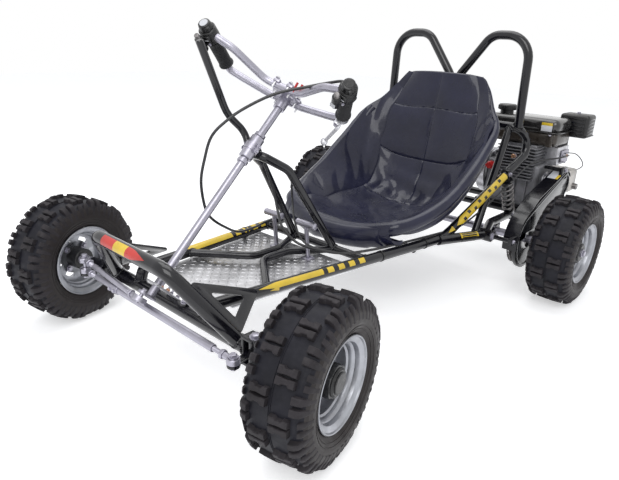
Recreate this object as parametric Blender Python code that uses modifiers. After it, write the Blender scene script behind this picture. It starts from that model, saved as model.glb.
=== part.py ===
"""Drift kart: a single-seat tube-frame kart with a small petrol engine.

Run with: blender --background --python part.py
Metres, +Z up. The kart faces -Y, and the driver's left is +X. Places along the
kart are measured rearward from the front axle, and FRONT_AXLE_Y shifts the whole
kart so that the origin is under the middle of its box, on the floor.
"""
import bpy
import bmesh
import math
from mathutils import Matrix, Vector

# Overall layout
FRONT_AXLE_Y = -0.6426
WHEELBASE = 1.088
FRONT_TRACK = 0.838
REAR_TRACK = 0.981
GAP = 0.0003

# Wheels: 13 x 5.00-6 knobby tyres
TYRE_RADIUS = 0.166
TYRE_WIDTH = 0.131
TYRE_SEGMENTS = 24
LUG_HEIGHT = 0.008
RIM_SEAT_RADIUS = 0.077
RIM_FLANGE_RADIUS = 0.092
RIM_FLANGE_X = 0.057
RIM_WALL = 0.006
RIM_WEB_X = 0.012
RIM_WEB_THICKNESS = 0.008
HUB_RADIUS = 0.028
HUB_OUTER_X = 0.046
HUB_INNER_X = 0.042
AXLE_RADIUS = 0.0125
BORE_GAP = 0.0005

# Steering
KINGPIN_X = 0.282
KNUCKLE_ARM = 0.070
PITMAN_ARM = 0.035
STEERED_ANGLE = math.radians(12.0)
STEERING_RATIO = PITMAN_ARM / KNUCKLE_ARM
KINGPIN_RADIUS = 0.011
KINGPIN_HEIGHT = 0.050
YOKE_GAP = 0.008
KINGPIN_PLAY = 0.0005
KINGPIN_BOLT_RADIUS = 0.006
YOKE_PLATE = 0.006
TIE_ROD_Z = 0.182
TIE_ROD_RADIUS = 0.0085
ROD_SHANK_RADIUS = 0.005
ROD_SHANK_LENGTH = 0.055
DRAG_LINK_Z = 0.210
DRAG_LINK_RADIUS = 0.0065
LINK_PIN_RADIUS = 0.0045
ROD_EYE_RADIUS = 0.013
ROD_EYE_HEIGHT = 0.013
ROD_EYE_CLEARANCE = 0.0006
OPEN_EYE_CLEARANCE = 0.0068
OPEN_EYE_OFFSET = 0.0025
OPEN_EYE_DROP = 0.0115
COLUMN_TILT = math.radians(45.0)
COLUMN_CROSSING_Z = 0.256
COLUMN_RADIUS = 0.0095
COLUMN_BOTTOM = -0.083
COLUMN_TOP = 0.480
COLUMN_CLEARANCE = 0.0006
SLEEVE_RADIUS = 0.0165
SLEEVE_START = 0.305
SLEEVE_END = 0.365
YOKE_RADIUS = 0.009
YOKE_BEND = 0.014
YOKE_LOW_X = 0.160
YOKE_LOW_RISE = 0.020
YOKE_HIGH_X = 0.182
YOKE_HIGH_RISE = 0.142
GRIP_START = 0.16
GRIP_END = 0.79
GRIP_RADIUS = 0.0165

# Frame tubes
RAIL_RADIUS = 0.0140
BEAM_RADIUS = 0.0165
BEAM_Z = 0.165
BUMPER_RADIUS = 0.0160
HOOP_RADIUS = 0.0140
BRACE_RADIUS = 0.0120
INNER_RADIUS = 0.0100
INNER_NARROW_X = 0.016
INNER_FRONT_Y = 0.150
SUPPORT_RADIUS = 0.0110
PLATE = 0.005
RAIL_FRONT_X = 0.134
RAIL_FRONT_Z = 0.208
RAIL_BEND_X = 0.232
RAIL_BEND_Y = WHEELBASE - 0.298
RAIL_BEND_Z = 0.200
RAIL_REAR_X = 0.276
RAIL_REAR_Y = WHEELBASE + 0.157
RAIL_REAR_Z = 0.428
CROSS_X = 0.252
CROSS_Y = WHEELBASE + 0.077
CROSS_Z = 0.497
BUMPER_X = 0.132
BUMPER_Y = -0.097
BUMPER_Z = 0.315
BUMPER_FOOT_X = 0.236
HOOP_OUTER_X = 0.250
HOOP_INNER_X = HOOP_RADIUS + GAP
HOOP_TOP_Z = 0.776
HOOP_INNER_KNEE_Z = 0.640
SUPPORT_FOOT_X = 0.075
SUPPORT_FOOT_Y = 0.470
SUPPORT_FOOT_Z = 0.200
FLOOR_THICKNESS = 0.004
FLOOR_FRONT_Y = 0.060
FLOOR_REAR_Y = 0.440
FLOOR_TOP_Z = RAIL_FRONT_Z - RAIL_RADIUS - PLATE

# Seat: a vinyl sling bucket
SEAT_THICKNESS = 0.014
SEAT_FLOOR_Z = 0.218
SEAT_TUBE_Y = WHEELBASE - 0.428
SEAT_TUBE_RADIUS = 0.0100

# Rear end
PIVOT_X = 0.280
PIVOT_Y = WHEELBASE - 0.123
PIVOT_Z = 0.184
LOWER_RAIL_RADIUS = 0.0155
PIVOT_BOSS_RADIUS = 0.019
PIVOT_BOSS_REACH = 0.026
LEVER_RADIUS = 0.009
AIR_CLEANER_Z = 0.455
SWING_ARM_RADIUS = 0.0140
SWING_ARM_X = 0.255
SWING_ARM_Z = 0.198
SWING_ARM_REAR_Y = WHEELBASE + 0.317
ENGINE_BAR_Y = WHEELBASE + 0.174
CARRIER_RADIUS = 0.032
CARRIER_WIDTH = 0.024
CARRIER_CLEARANCE = 0.0006
SHOCK_RADIUS = 0.022
SHOCK_TOP_Y = WHEELBASE + 0.012
SHOCK_FOOT_Y = WHEELBASE + 0.107
SPROCKET_X = 0.345
SPROCKET_RADIUS = 0.075
SPROCKET_THICKNESS = 0.005
DRIVE_SPROCKET_RADIUS = 0.026
CHAIN_CLEARANCE = 0.0015
CHAIN_DEPTH = 0.008
CHAIN_WIDTH = 0.009
GUARD_X = 0.362
GUARD_THICKNESS = 0.012
DISC_X = -0.330
DISC_RADIUS = 0.075
DISC_THICKNESS = 0.004
DISC_CLEARANCE = 0.005

# Engine: a small horizontal-shaft petrol engine behind the axle
ENGINE_LEFT_X = 0.305
ENGINE_RIGHT_X = 0.115
ENGINE_FRONT_Y = WHEELBASE + 0.152
ENGINE_REAR_Y = WHEELBASE + 0.312
ENGINE_PLATE = 0.006
SHAFT_Y = WHEELBASE + 0.247
SHAFT_Z = 0.305
SHAFT_RADIUS = 0.010
TANK_FLOOR_Z = 0.432
TANK_HEIGHT = 0.090
TANK_FRONT_Y = WHEELBASE + 0.178
TANK_REAR_Y = ENGINE_REAR_Y
TANK_LEFT_X = 0.342
TANK_RIGHT_X = 0.088
FIN_COUNT = 7

VEHICLE = "drift_kart"
PARTS = None
ORIGIN = None
MATERIALS = {}


def clear_scene():
    """Remove what the file opens with."""
    for item in list(bpy.data.objects):
        bpy.data.objects.remove(item, do_unlink=True)


def material(name, colour, roughness, metallic):
    """A plain Principled material, made once for each name."""
    if name not in MATERIALS:
        made = bpy.data.materials.new(name)
        made.use_nodes = True
        shader = made.node_tree.nodes["Principled BSDF"]
        shader.inputs["Base Color"].default_value = (*colour, 1.0)
        shader.inputs["Roughness"].default_value = roughness
        shader.inputs["Metallic"].default_value = metallic
        MATERIALS[name] = made
    return MATERIALS[name]


def black_paint():
    return material("black_paint", (0.02, 0.02, 0.024), 0.3, 0.0)


def bright_steel():
    return material("bright_steel", (0.62, 0.62, 0.68), 0.28, 1.0)


def tread_rubber():
    return material("tread_rubber", (0.045, 0.043, 0.045), 0.8, 0.0)


def rim_paint():
    return material("rim_paint", (0.50, 0.50, 0.52), 0.35, 0.6)


def black_plastic():
    return material("black_plastic", (0.02, 0.02, 0.02), 0.45, 0.0)


def seat_vinyl():
    return material("seat_vinyl", (0.035, 0.037, 0.055), 0.45, 0.0)


def cast_grey():
    return material("cast_grey", (0.10, 0.10, 0.11), 0.55, 0.7)


def tread_plate():
    return material("tread_plate", (0.55, 0.55, 0.57), 0.35, 1.0)


def red_plastic():
    return material("red_plastic", (0.7, 0.02, 0.02), 0.4, 0.0)


def pivot(name, location, parent, rotation=None):
    """An empty that carries pieces, on a joint's axis where they move."""
    empty = bpy.data.objects.new(name, None)
    PARTS.objects.link(empty)
    empty.parent = parent
    empty.location = location
    if rotation is not None:
        empty.rotation_mode = "QUATERNION"
        empty.rotation_quaternion = rotation
    return empty


def finish(piece, name, paint, parent, smooth=True):
    """Name a piece, give it its material and hang it on its parent."""
    piece.name = name
    piece.data.name = name
    piece.data.materials.clear()
    piece.data.materials.append(paint)
    if smooth and piece.type == "MESH":
        piece.data.shade_smooth()
        piece.data.set_sharp_from_angle(angle=math.radians(35))
    piece.parent = parent
    return piece


def linked(name, data):
    piece = bpy.data.objects.new(name, data)
    PARTS.objects.link(piece)
    return piece


def from_bmesh(name, shape):
    data = bpy.data.meshes.new(name)
    shape.to_mesh(data)
    shape.free()
    return linked(name, data)


def as_mesh(piece):
    """Turn a curve, or a piece with modifiers, into a welded closed mesh."""
    bpy.context.view_layer.update()
    graph = bpy.context.evaluated_depsgraph_get()
    data = bpy.data.meshes.new_from_object(piece.evaluated_get(graph))
    shape = bmesh.new()
    shape.from_mesh(data)
    bmesh.ops.remove_doubles(shape, verts=shape.verts, dist=1e-6)
    bmesh.ops.recalc_face_normals(shape, faces=shape.faces)
    shape.to_mesh(data)
    shape.free()
    made = linked(piece.name, data)
    made.matrix_world = piece.matrix_world
    bpy.data.objects.remove(piece, do_unlink=True)
    return made


def combine(base, others, operation):
    """Apply one exact Boolean after another and drop the shapes used."""
    for other in others:
        step = base.modifiers.new(operation.lower(), "BOOLEAN")
        step.operation = operation
        step.solver = "EXACT"
        step.object = other
        base = as_mesh(base)
        bpy.data.objects.remove(other, do_unlink=True)
    return base


def union(base, *others):
    return combine(base, others, "UNION")


def cut(base, *others):
    return combine(base, others, "DIFFERENCE")


def rounded_path(points, bends):
    """A path whose inner corners are arcs of the given bend radii."""
    points = [Vector(p) for p in points]
    path = [points[0]]
    for index in range(1, len(points) - 1):
        before = (points[index - 1] - points[index]).normalized()
        after = (points[index + 1] - points[index]).normalized()
        turn = math.pi - before.angle(after)
        radius = bends[index - 1]
        if turn < math.radians(3) or radius <= 0:
            path.append(points[index])
            continue
        reach = radius * math.tan(turn / 2)
        centre_way = (before + after).normalized()
        centre = points[index] + centre_way * (radius / math.cos(turn / 2))
        start = points[index] + before * reach - centre
        axis = after.cross(before)
        steps = max(2, round(math.degrees(turn) / 22))
        for step in range(steps + 1):
            swing = Matrix.Rotation(turn * step / steps, 3, axis)
            path.append(centre + swing @ start)
    path.append(points[-1])
    return path


def tube_curve(name, path, radius, resolution=2):
    """A round tube with filled ends along a path of points."""
    data = bpy.data.curves.new(name, "CURVE")
    data.dimensions = "3D"
    data.bevel_depth = radius
    data.bevel_resolution = resolution
    data.use_fill_caps = True
    spline = data.splines.new("POLY")
    spline.points.add(len(path) - 1)
    for point, place in zip(spline.points, path):
        point.co = (*place, 1.0)
    return linked(name, data)


def tube(name, path, radius, resolution=2):
    return as_mesh(tube_curve(name, path, radius, resolution))


def straight(start, end):
    return [Vector(start), Vector(end)]


def rod(name, start, end, radius, sides=12):
    """A straight round bar between two points."""
    start, end = Vector(start), Vector(end)
    shape = bmesh.new()
    bmesh.ops.create_cone(shape, cap_ends=True, segments=sides, radius1=radius,
                          radius2=radius, depth=(end - start).length)
    turn = Vector((0, 0, 1)).rotation_difference(end - start).to_matrix().to_4x4()
    bmesh.ops.transform(shape, verts=shape.verts,
                        matrix=Matrix.Translation((start + end) / 2) @ turn)
    return from_bmesh(name, shape)


def box(name, low, high, bevel=0.0):
    """A box between two corners, with its edges bevelled if asked."""
    low, high = Vector(low), Vector(high)
    shape = bmesh.new()
    bmesh.ops.create_cube(shape, size=1.0)
    scale = Matrix.Diagonal((*(high - low), 1.0))
    bmesh.ops.transform(shape, verts=shape.verts,
                        matrix=Matrix.Translation((low + high) / 2) @ scale)
    if bevel > 0:
        bmesh.ops.bevel(shape, geom=shape.edges, offset=bevel, segments=1,
                        affect="EDGES")
    return from_bmesh(name, shape)


def plate(name, outlines, thickness, matrix):
    """A flat plate: the first outline is its edge, the others are holes."""
    data = bpy.data.curves.new(name, "CURVE")
    data.dimensions = "2D"
    data.fill_mode = "BOTH"
    data.extrude = thickness / 2
    for outline in outlines:
        spline = data.splines.new("POLY")
        spline.points.add(len(outline) - 1)
        for point, place in zip(spline.points, outline):
            point.co = (place[0], place[1], 0.0, 1.0)
        spline.use_cyclic_u = True
    made = as_mesh(linked(name, data))
    made.data.transform(matrix)
    return made


def circle(x, y, radius, sides=16, start=0.0):
    return [(x + radius * math.cos(start + 2 * math.pi * k / sides),
             y + radius * math.sin(start + 2 * math.pi * k / sides))
            for k in range(sides)]


def rounded_outline(corners, radius, steps=2):
    """A closed 2D outline whose corners are arcs of one radius."""
    outline = []
    count = len(corners)
    for index in range(count):
        here = Vector(corners[index])
        before = (Vector(corners[index - 1]) - here).normalized()
        after = (Vector(corners[(index + 1) % count]) - here).normalized()
        turn = math.pi - before.angle(after)
        reach = radius * math.tan(turn / 2)
        centre = here + (before + after).normalized() * (radius / math.cos(turn / 2))
        start = here + before * reach - centre
        end = here + after * reach - centre
        base = math.atan2(start.y, start.x)
        swing = math.atan2(start.x * end.y - start.y * end.x, start.dot(end))
        for step in range(steps + 1):
            angle = base + swing * step / steps
            outline.append((centre.x + radius * math.cos(angle),
                            centre.y + radius * math.sin(angle)))
    return outline


def turned(name, profile, segments):
    """A shape turned about X from (x, radius) points, given from +X to -X."""
    data = bpy.data.meshes.new(name)
    vertices = [(radius, 0.0, x) for x, radius in profile]
    edges = [(k, k + 1) for k in range(len(profile) - 1)]
    data.from_pydata(vertices, edges, [])
    piece = linked(name, data)
    screw = piece.modifiers.new("turn", "SCREW")
    screw.axis = "Z"
    screw.steps = segments
    screw.render_steps = segments
    screw.use_merge_vertices = True
    screw.merge_threshold = 0.0001
    made = as_mesh(piece)
    made.data.transform(Matrix.Rotation(math.radians(90), 4, "Y"))
    half_step = math.pi / segments
    made.data.transform(Matrix.Rotation(half_step, 4, "X"))
    return made


def mirrored(points):
    return [(-p[0], p[1], p[2]) for p in points]


def sided(points, side):
    return [(side * p[0], p[1], p[2]) for p in points]


def column_point(along, out=0.0):
    """A point on the steering column's axis, or out from it forward and up."""
    up = Vector((0, math.sin(COLUMN_TILT), math.cos(COLUMN_TILT)))
    forward = Vector((0, -math.cos(COLUMN_TILT), math.sin(COLUMN_TILT)))
    return Vector((0, 0, COLUMN_CROSSING_Z)) + up * along + forward * out


def column_turn():
    """The turn from upright to the column's own direction."""
    return Vector((0, 0, 1)).rotation_difference(column_point(1) - column_point(0))


def wheel_height():
    """The axle's height when the tyre stands on one flat of its tread."""
    return TYRE_RADIUS * math.cos(math.pi / TYRE_SEGMENTS)


def rail_path(side):
    points = [(RAIL_FRONT_X, 0.0, BEAM_Z), (RAIL_FRONT_X, 0.012, RAIL_FRONT_Z),
              (RAIL_BEND_X, RAIL_BEND_Y, RAIL_BEND_Z),
              (RAIL_REAR_X, RAIL_REAR_Y, RAIL_REAR_Z),
              (CROSS_X, CROSS_Y, CROSS_Z), (GAP / 2, CROSS_Y, CROSS_Z)]
    return rounded_path(sided(points, side), (0.02, 0.16, 0.045, 0.040))


def beam_path():
    end = KINGPIN_X - KINGPIN_RADIUS - YOKE_GAP - 0.004
    return straight((-end, 0, BEAM_Z), (end, 0, BEAM_Z))


def bumper_path():
    half = [(BUMPER_FOOT_X, 0.0, BEAM_Z), (BUMPER_X, BUMPER_Y, BUMPER_Z)]
    points = half + mirrored(half)[::-1]
    return rounded_path(points, (0.042, 0.042))


def hoop_path(side):
    points = [(HOOP_OUTER_X, CROSS_Y, CROSS_Z), (HOOP_OUTER_X - 0.006, CROSS_Y, HOOP_TOP_Z),
              (0.116, CROSS_Y, HOOP_TOP_Z), (HOOP_INNER_X, CROSS_Y, HOOP_INNER_KNEE_Z),
              (HOOP_INNER_X, CROSS_Y, CROSS_Z + 0.006)]
    return rounded_path(sided(points, side), (0.075, 0.060, 0.050))


def rail_at(y):
    """Half width and height of the main rails' long straight at a place along them."""
    share = (y - 0.012) / (RAIL_BEND_Y - 0.012)
    return (RAIL_FRONT_X + (RAIL_BEND_X - RAIL_FRONT_X) * share,
            RAIL_FRONT_Z + (RAIL_BEND_Z - RAIL_FRONT_Z) * share)


def inner_rail_path(side):
    x, z = rail_at(INNER_FRONT_Y)
    points = [(x, INNER_FRONT_Y, z), (INNER_NARROW_X, 0.262, 0.207), (INNER_NARROW_X, 0.352, 0.207),
              (SUPPORT_FOOT_X, SUPPORT_FOOT_Y, SUPPORT_FOOT_Z)]
    return rounded_path(sided(points, side), (0.05, 0.05))


def seat_tube_path(y):
    x, z = rail_at(y)
    return straight((-x, y, z), (x, y, z))


def support_path():
    under = SLEEVE_RADIUS + SUPPORT_RADIUS + GAP
    crown = column_point((SLEEVE_START + SLEEVE_END) / 2, -under)
    half = [(SUPPORT_FOOT_X, SUPPORT_FOOT_Y, SUPPORT_FOOT_Z + 0.006), (0.048, 0.315, 0.438),
            (0.020, crown.y, crown.z)]
    points = half + mirrored(half)[::-1]
    return rounded_path(points, (0.05, 0.02, 0.02, 0.05))


def main_rails(root):
    for side, word in ((1, "left"), (-1, "right")):
        rail = tube("rail", rail_path(side), RAIL_RADIUS)
        rail = cut(rail, tube("beam_cut", beam_path(), BEAM_RADIUS + GAP, 4))
        finish(rail, word + "_main_rail", black_paint(), root)


def front_beam(root):
    """The front axle beam with a fork at each end for the kingpins."""
    beam = tube("beam", beam_path(), BEAM_RADIUS, 4)
    for side in (1, -1):
        for end in (1, -1):
            middle = BEAM_Z + end * (KINGPIN_HEIGHT / 2 + KINGPIN_PLAY + YOKE_PLATE / 2)
            reach = KINGPIN_X + KINGPIN_RADIUS + 0.003
            near = KINGPIN_X - KINGPIN_RADIUS - YOKE_GAP - 0.012
            ear = box("ear", (min(side * near, side * reach), -0.016, middle - YOKE_PLATE / 2),
                      (max(side * near, side * reach), 0.016, middle + YOKE_PLATE / 2))
            beam = union(beam, ear)
        tall = KINGPIN_HEIGHT / 2 + KINGPIN_PLAY + YOKE_PLATE / 2
        near = KINGPIN_X - KINGPIN_RADIUS - YOKE_GAP
        back = box("back", (min(side * near, side * (near - 0.007)), -0.0159, BEAM_Z - tall),
                   (max(side * near, side * (near - 0.007)), 0.0159, BEAM_Z + tall))
        beam = union(beam, back)
        beam = cut(beam, rod("bolt_cut", (side * KINGPIN_X, 0, BEAM_Z - 0.1),
                             (side * KINGPIN_X, 0, BEAM_Z + 0.1), KINGPIN_BOLT_RADIUS + BORE_GAP))
    finish(beam, "front_axle_beam", black_paint(), root)


def bumper(root):
    hoop = tube("bumper", bumper_path(), BUMPER_RADIUS, 3)
    hoop = cut(hoop, tube("beam_cut", beam_path(), BEAM_RADIUS + GAP, 4))
    finish(hoop, "front_bumper", black_paint(), root)


def gusset_plates(root):
    """Slanted triangular plates from the bumper's legs back to the rails."""
    for side, word in ((1, "left"), (-1, "right")):
        top = Vector((side * 0.152, -0.066, 0.290))
        rear = Vector((side * 0.166, 0.112, 0.222))
        foot = Vector((side * 0.236, 0.000, 0.184))
        along = (foot - top).normalized()
        normal = along.cross(rear - top).normalized()
        across = normal.cross(along)
        matrix = Matrix((along, across, normal)).transposed().to_4x4()
        matrix.translation = top
        flat = [((p - top).dot(along), (p - top).dot(across)) for p in (top, foot, rear)]
        middle = (sum(p[0] for p in flat) / 3, sum(p[1] for p in flat) / 3)
        hole = [(middle[0] + 0.50 * (p[0] - middle[0]), middle[1] + 0.50 * (p[1] - middle[1]))
                for p in flat]
        gusset = plate("gusset", (rounded_outline(flat, 0.008), rounded_outline(hole, 0.004)),
                       PLATE, matrix)
        gusset = cut(gusset, tube("rail_cut", rail_path(side), RAIL_RADIUS + GAP),
                     tube("leg_cut", bumper_path(), BUMPER_RADIUS + GAP, 3),
                     tube("beam_cut", beam_path(), BEAM_RADIUS + GAP, 4))
        finish(gusset, word + "_gusset_plate", black_paint(), root, smooth=False)


def inner_rails(root):
    for side, word in ((1, "left"), (-1, "right")):
        rail = tube("inner", inner_rail_path(side), INNER_RADIUS)
        rail = cut(rail, tube("rail_cut", rail_path(side), RAIL_RADIUS + GAP),
                   tube("tube_cut", seat_tube_path(SUPPORT_FOOT_Y), SUPPORT_RADIUS + GAP))
        finish(rail, word + "_inner_rail", black_paint(), root)


def cross_tubes(root):
    """Tubes across the frame: at the steering support's feet and under the seat."""
    for name, y, radius in (("front_cross_tube", SUPPORT_FOOT_Y, SUPPORT_RADIUS),
                            ("seat_cross_tube", SEAT_TUBE_Y, SEAT_TUBE_RADIUS)):
        cross = tube("cross", seat_tube_path(y), radius)
        if y == SEAT_TUBE_Y:
            sag = SEAT_FLOOR_Z - SEAT_THICKNESS - GAP - radius - rail_at(y)[1]
            cross.data.transform(Matrix.Translation((0, 0, sag)))
        for side in (1, -1):
            cross = cut(cross, tube("rail_cut", rail_path(side), RAIL_RADIUS + GAP))
        finish(cross, name, black_paint(), root)


def floor_plate(root):
    """The foot plate, hung just under the inner and main rails."""
    rear_x = rail_at(FLOOR_REAR_Y)[0]
    front_x = rail_at(FLOOR_FRONT_Y)[0]
    outline = [(-rear_x, FLOOR_REAR_Y), (rear_x, FLOOR_REAR_Y),
               (front_x, FLOOR_FRONT_Y), (-front_x, FLOOR_FRONT_Y)]
    matrix = Matrix.Translation((0, 0, FLOOR_TOP_Z - FLOOR_THICKNESS / 2))
    floor = plate("floor", (outline,), FLOOR_THICKNESS, matrix)
    for side in (1, -1):
        floor = cut(floor, tube("rail_cut", rail_path(side), RAIL_RADIUS + GAP))
    finish(floor, "floor_plate", tread_plate(), root, smooth=False)


def steering_support(root):
    support = tube("support", support_path(), SUPPORT_RADIUS)
    support = cut(support, tube("tube_cut", seat_tube_path(SUPPORT_FOOT_Y), SUPPORT_RADIUS + GAP))
    for side in (1, -1):
        support = cut(support, tube("rail_cut", inner_rail_path(side), INNER_RADIUS + GAP))
    finish(support, "steering_support", black_paint(), root)
    bore = COLUMN_RADIUS + COLUMN_CLEARANCE
    turn = column_turn().to_matrix().to_4x4()
    matrix = Matrix.Translation(column_point((SLEEVE_START + SLEEVE_END) / 2)) @ turn
    sleeve = plate("sleeve", (circle(0, 0, SLEEVE_RADIUS), circle(0, 0, bore)),
                   SLEEVE_END - SLEEVE_START, matrix)
    finish(sleeve, "column_sleeve", bright_steel(), root)


def column_bracket(root):
    """The plate on the beam whose hole guides the column's lower end."""
    turn = column_turn().to_matrix().to_4x4()
    matrix = Matrix.Translation(column_point(-0.050)) @ turn
    wide, low, tall = 0.020, -0.020, 0.066
    outline = rounded_outline([(-wide, low), (wide, low), (wide, tall), (-wide, tall)], 0.006)
    bracket = plate("bracket", (outline, circle(0, 0, COLUMN_RADIUS + COLUMN_CLEARANCE)),
                    PLATE, matrix)
    bracket = cut(bracket, tube("beam_cut", beam_path(), BEAM_RADIUS + GAP, 4))
    finish(bracket, "column_bracket", bright_steel(), root, smooth=False)


def steering(steer):
    """Column, pitman arm and handlebar, in the column's own frame (Z along it)."""
    column = rod("column", (0, 0, COLUMN_BOTTOM), (0, 0, COLUMN_TOP), COLUMN_RADIUS)
    level = COLUMN_BOTTOM + 0.001
    eye = rod("eye", (0, 0, level), (0, 0, level + 0.006), 0.016)
    arm = box("arm", (-0.010, -PITMAN_ARM, level), (0.010, 0.0, level + 0.006))
    end = rod("end", (0, -PITMAN_ARM, level), (0, -PITMAN_ARM, level + 0.006), 0.012)
    pin = rod("pin", (0, -PITMAN_ARM, level - 0.022), (0, -PITMAN_ARM, level + 0.002),
              LINK_PIN_RADIUS)
    column = union(column, eye, arm, end, pin)
    finish(column, "steering_column", bright_steel(), steer)

    finish(yoke(), "steering_yoke", bright_steel(), steer)
    for side, word in ((1, "left"), (-1, "right")):
        grip = rod("grip", yoke_grip(side, GRIP_START), yoke_grip(side, GRIP_END), GRIP_RADIUS)
        grip = cut(grip, yoke_tube("bar_cut", YOKE_RADIUS + GAP))
        finish(grip, word + "_grip", black_plastic(), steer)


def yoke_grip(side, share):
    """A point along the yoke's outer bar, which the grip sits on."""
    level = COLUMN_TOP + YOKE_RADIUS
    low = Vector((side * YOKE_LOW_X, -YOKE_LOW_RISE, level))
    high = Vector((side * YOKE_HIGH_X, -YOKE_HIGH_RISE, level))
    return low + (high - low) * share


def yoke_path():
    """The yoke's closed loop: lower bar, both hand bars and the dipped upper bar."""
    level = COLUMN_TOP + YOKE_RADIUS
    half = [(0.046, 0.010, level), (0.122, -0.008, level), yoke_grip(1, 0), yoke_grip(1, 1),
            (0.120, -0.118, level), (0.046, -0.044, level)]
    start = Vector((0, 0.010, level))
    loop = [start] + half + mirrored(half)[::-1] + [start]
    bends = (0.05, 0.06, YOKE_BEND, YOKE_BEND, 0.06, 0.05)
    return rounded_path(loop, bends + bends[::-1])[:-1]


def yoke_tube(name, radius):
    """The yoke's loop as one closed tube."""
    curve = tube_curve(name, yoke_path(), radius)
    curve.data.splines[0].use_cyclic_u = True
    return as_mesh(curve)


def yoke():
    """The butterfly yoke with its hub plate and the socket for the column."""
    level = COLUMN_TOP + YOKE_RADIUS
    outline = rounded_outline([(-0.040, 0.018), (0.040, 0.018), (0.024, -0.052), (-0.024, -0.052)], 0.008)
    hub = plate("hub", (outline,), YOKE_RADIUS, Matrix.Translation((0, 0, level)))
    hub = union(hub, yoke_tube("loop", YOKE_RADIUS))
    socket = rod("socket", (0, 0, COLUMN_TOP - 0.024), (0, 0, level), COLUMN_RADIUS + 0.005)
    hub = union(hub, socket)
    return cut(hub, rod("column_cut", (0, 0, 0), (0, 0, COLUMN_TOP + GAP), COLUMN_RADIUS + GAP))


def controls(steer):
    """Blocks on top of the hand bars and a brake lever at the foot of the left one."""
    for side, word in ((1, "left"), (-1, "right")):
        low, high = yoke_grip(side, GRIP_END + 0.02), yoke_grip(side, 1.10)
        way = (high - low).normalized()
        block = rod("block", low, high, 0.021, 10)
        post = rod("post", high - way * 0.004, high + way * 0.016, 0.012, 10)
        block = cut(union(block, post), yoke_tube("bar_cut", YOKE_RADIUS + GAP))
        finish(block, word + "_control", black_plastic(), steer)
    low, high = yoke_grip(1, 0.01), yoke_grip(1, GRIP_START - 0.02)
    perch = rod("perch", low, high, 0.016, 10)
    knee = low + Vector((0.003, -0.002, -0.026))
    tip = knee + Vector((-0.028, 0.048, -0.024))
    lever = tube("lever", rounded_path([low + Vector((0, -0.006, -0.010)), knee, tip], (0.012,)), 0.0055)
    ball = bmesh.new()
    bmesh.ops.create_uvsphere(ball, u_segments=8, v_segments=6, radius=0.009)
    bmesh.ops.translate(ball, verts=ball.verts, vec=tip)
    perch = cut(union(perch, lever, from_bmesh("ball", ball)), yoke_tube("bar_cut", YOKE_RADIUS + GAP))
    finish(perch, "brake_lever", bright_steel(), steer)


def link_eye(name, place, clearance, turn=Matrix.Identity(4)):
    matrix = Matrix.Translation(place) @ turn
    outer = max(ROD_EYE_RADIUS, LINK_PIN_RADIUS + clearance + 0.005)
    return plate(name, (circle(0, 0, outer, 12), circle(0, 0, LINK_PIN_RADIUS + clearance, 12)),
                 ROD_EYE_HEIGHT, matrix), outer


def knuckle(side, word, kingpin):
    """Kingpin, stub axle and steering arm, in the kingpin's frame."""
    hub_x = FRONT_TRACK / 2 - KINGPIN_X
    height = KINGPIN_HEIGHT / 2
    drop = BEAM_Z - wheel_height()
    body = rod("body", (0, 0, drop - height), (0, 0, drop + height), KINGPIN_RADIUS + 0.004)
    outside = height + YOKE_PLATE + 2 * KINGPIN_PLAY
    bolt = rod("bolt", (0, 0, drop - outside - 0.004), (0, 0, drop + outside + 0.004), KINGPIN_BOLT_RADIUS)
    head = rod("head", (0, 0, drop + outside), (0, 0, drop + outside + 0.007), 0.0105, 6)
    nut = rod("nut", (0, 0, drop - outside - 0.007), (0, 0, drop - outside), 0.0105, 6)
    body = union(body, bolt, head, nut)
    stub = rod("stub", (0, 0, 0), (side * (hub_x + HUB_OUTER_X + 0.004), 0, 0), AXLE_RADIUS)
    arm_z = TIE_ROD_Z - wheel_height() - ROD_EYE_HEIGHT / 2 - 0.006 - GAP
    arm = box("arm", (-0.0075, -KNUCKLE_ARM, arm_z), (0.0075, 0.0, arm_z + 0.006))
    end = rod("end", (0, -KNUCKLE_ARM, arm_z), (0, -KNUCKLE_ARM, arm_z + 0.006), 0.013)
    pin_top = TIE_ROD_Z - wheel_height() + ROD_EYE_HEIGHT / 2 + 0.004
    if side < 0:
        pin_top = DRAG_LINK_Z - wheel_height() + ROD_EYE_HEIGHT / 2 + 0.004
    pin = rod("pin", (0, -KNUCKLE_ARM, arm_z + 0.002), (0, -KNUCKLE_ARM, pin_top), LINK_PIN_RADIUS)
    body = union(body, stub, arm, end, pin)
    finish(body, word + "_knuckle", black_paint(), kingpin)


def tie_rod(root, pin):
    """The tube across both knuckle arms, in the frame of the left arm's pin."""
    length = 2 * KINGPIN_X
    eye, outer = link_eye("eye", (0, 0, 0), ROD_EYE_CLEARANCE)
    far, outer = link_eye("far", (-length, 0, 0), ROD_EYE_CLEARANCE)
    shank = rod("shank", (-outer + 0.003, 0, 0), (-length + outer - 0.003, 0, 0), ROD_SHANK_RADIUS, 8)
    thick = rod("thick", (-ROD_SHANK_LENGTH, 0, 0), (-length + ROD_SHANK_LENGTH, 0, 0), TIE_ROD_RADIUS, 8)
    bar = union(thick, shank, eye, far)
    finish(bar, "tie_rod", bright_steel(), pin)


def drag_link(pin, inner):
    """The link from the right knuckle to the pitman arm, in its pin's frame."""
    turn = column_turn().to_matrix().to_4x4()
    eye, outer = link_eye("eye", (0, 0, 0), ROD_EYE_CLEARANCE)
    far, wide = link_eye("far", inner, OPEN_EYE_CLEARANCE, turn)
    way = inner.normalized()
    bar = tube("bar", straight(way * (outer - 0.003), inner - way * (wide - 0.003)), DRAG_LINK_RADIUS)
    bar = union(bar, eye, far)
    finish(bar, "drag_link", bright_steel(), pin)


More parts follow.
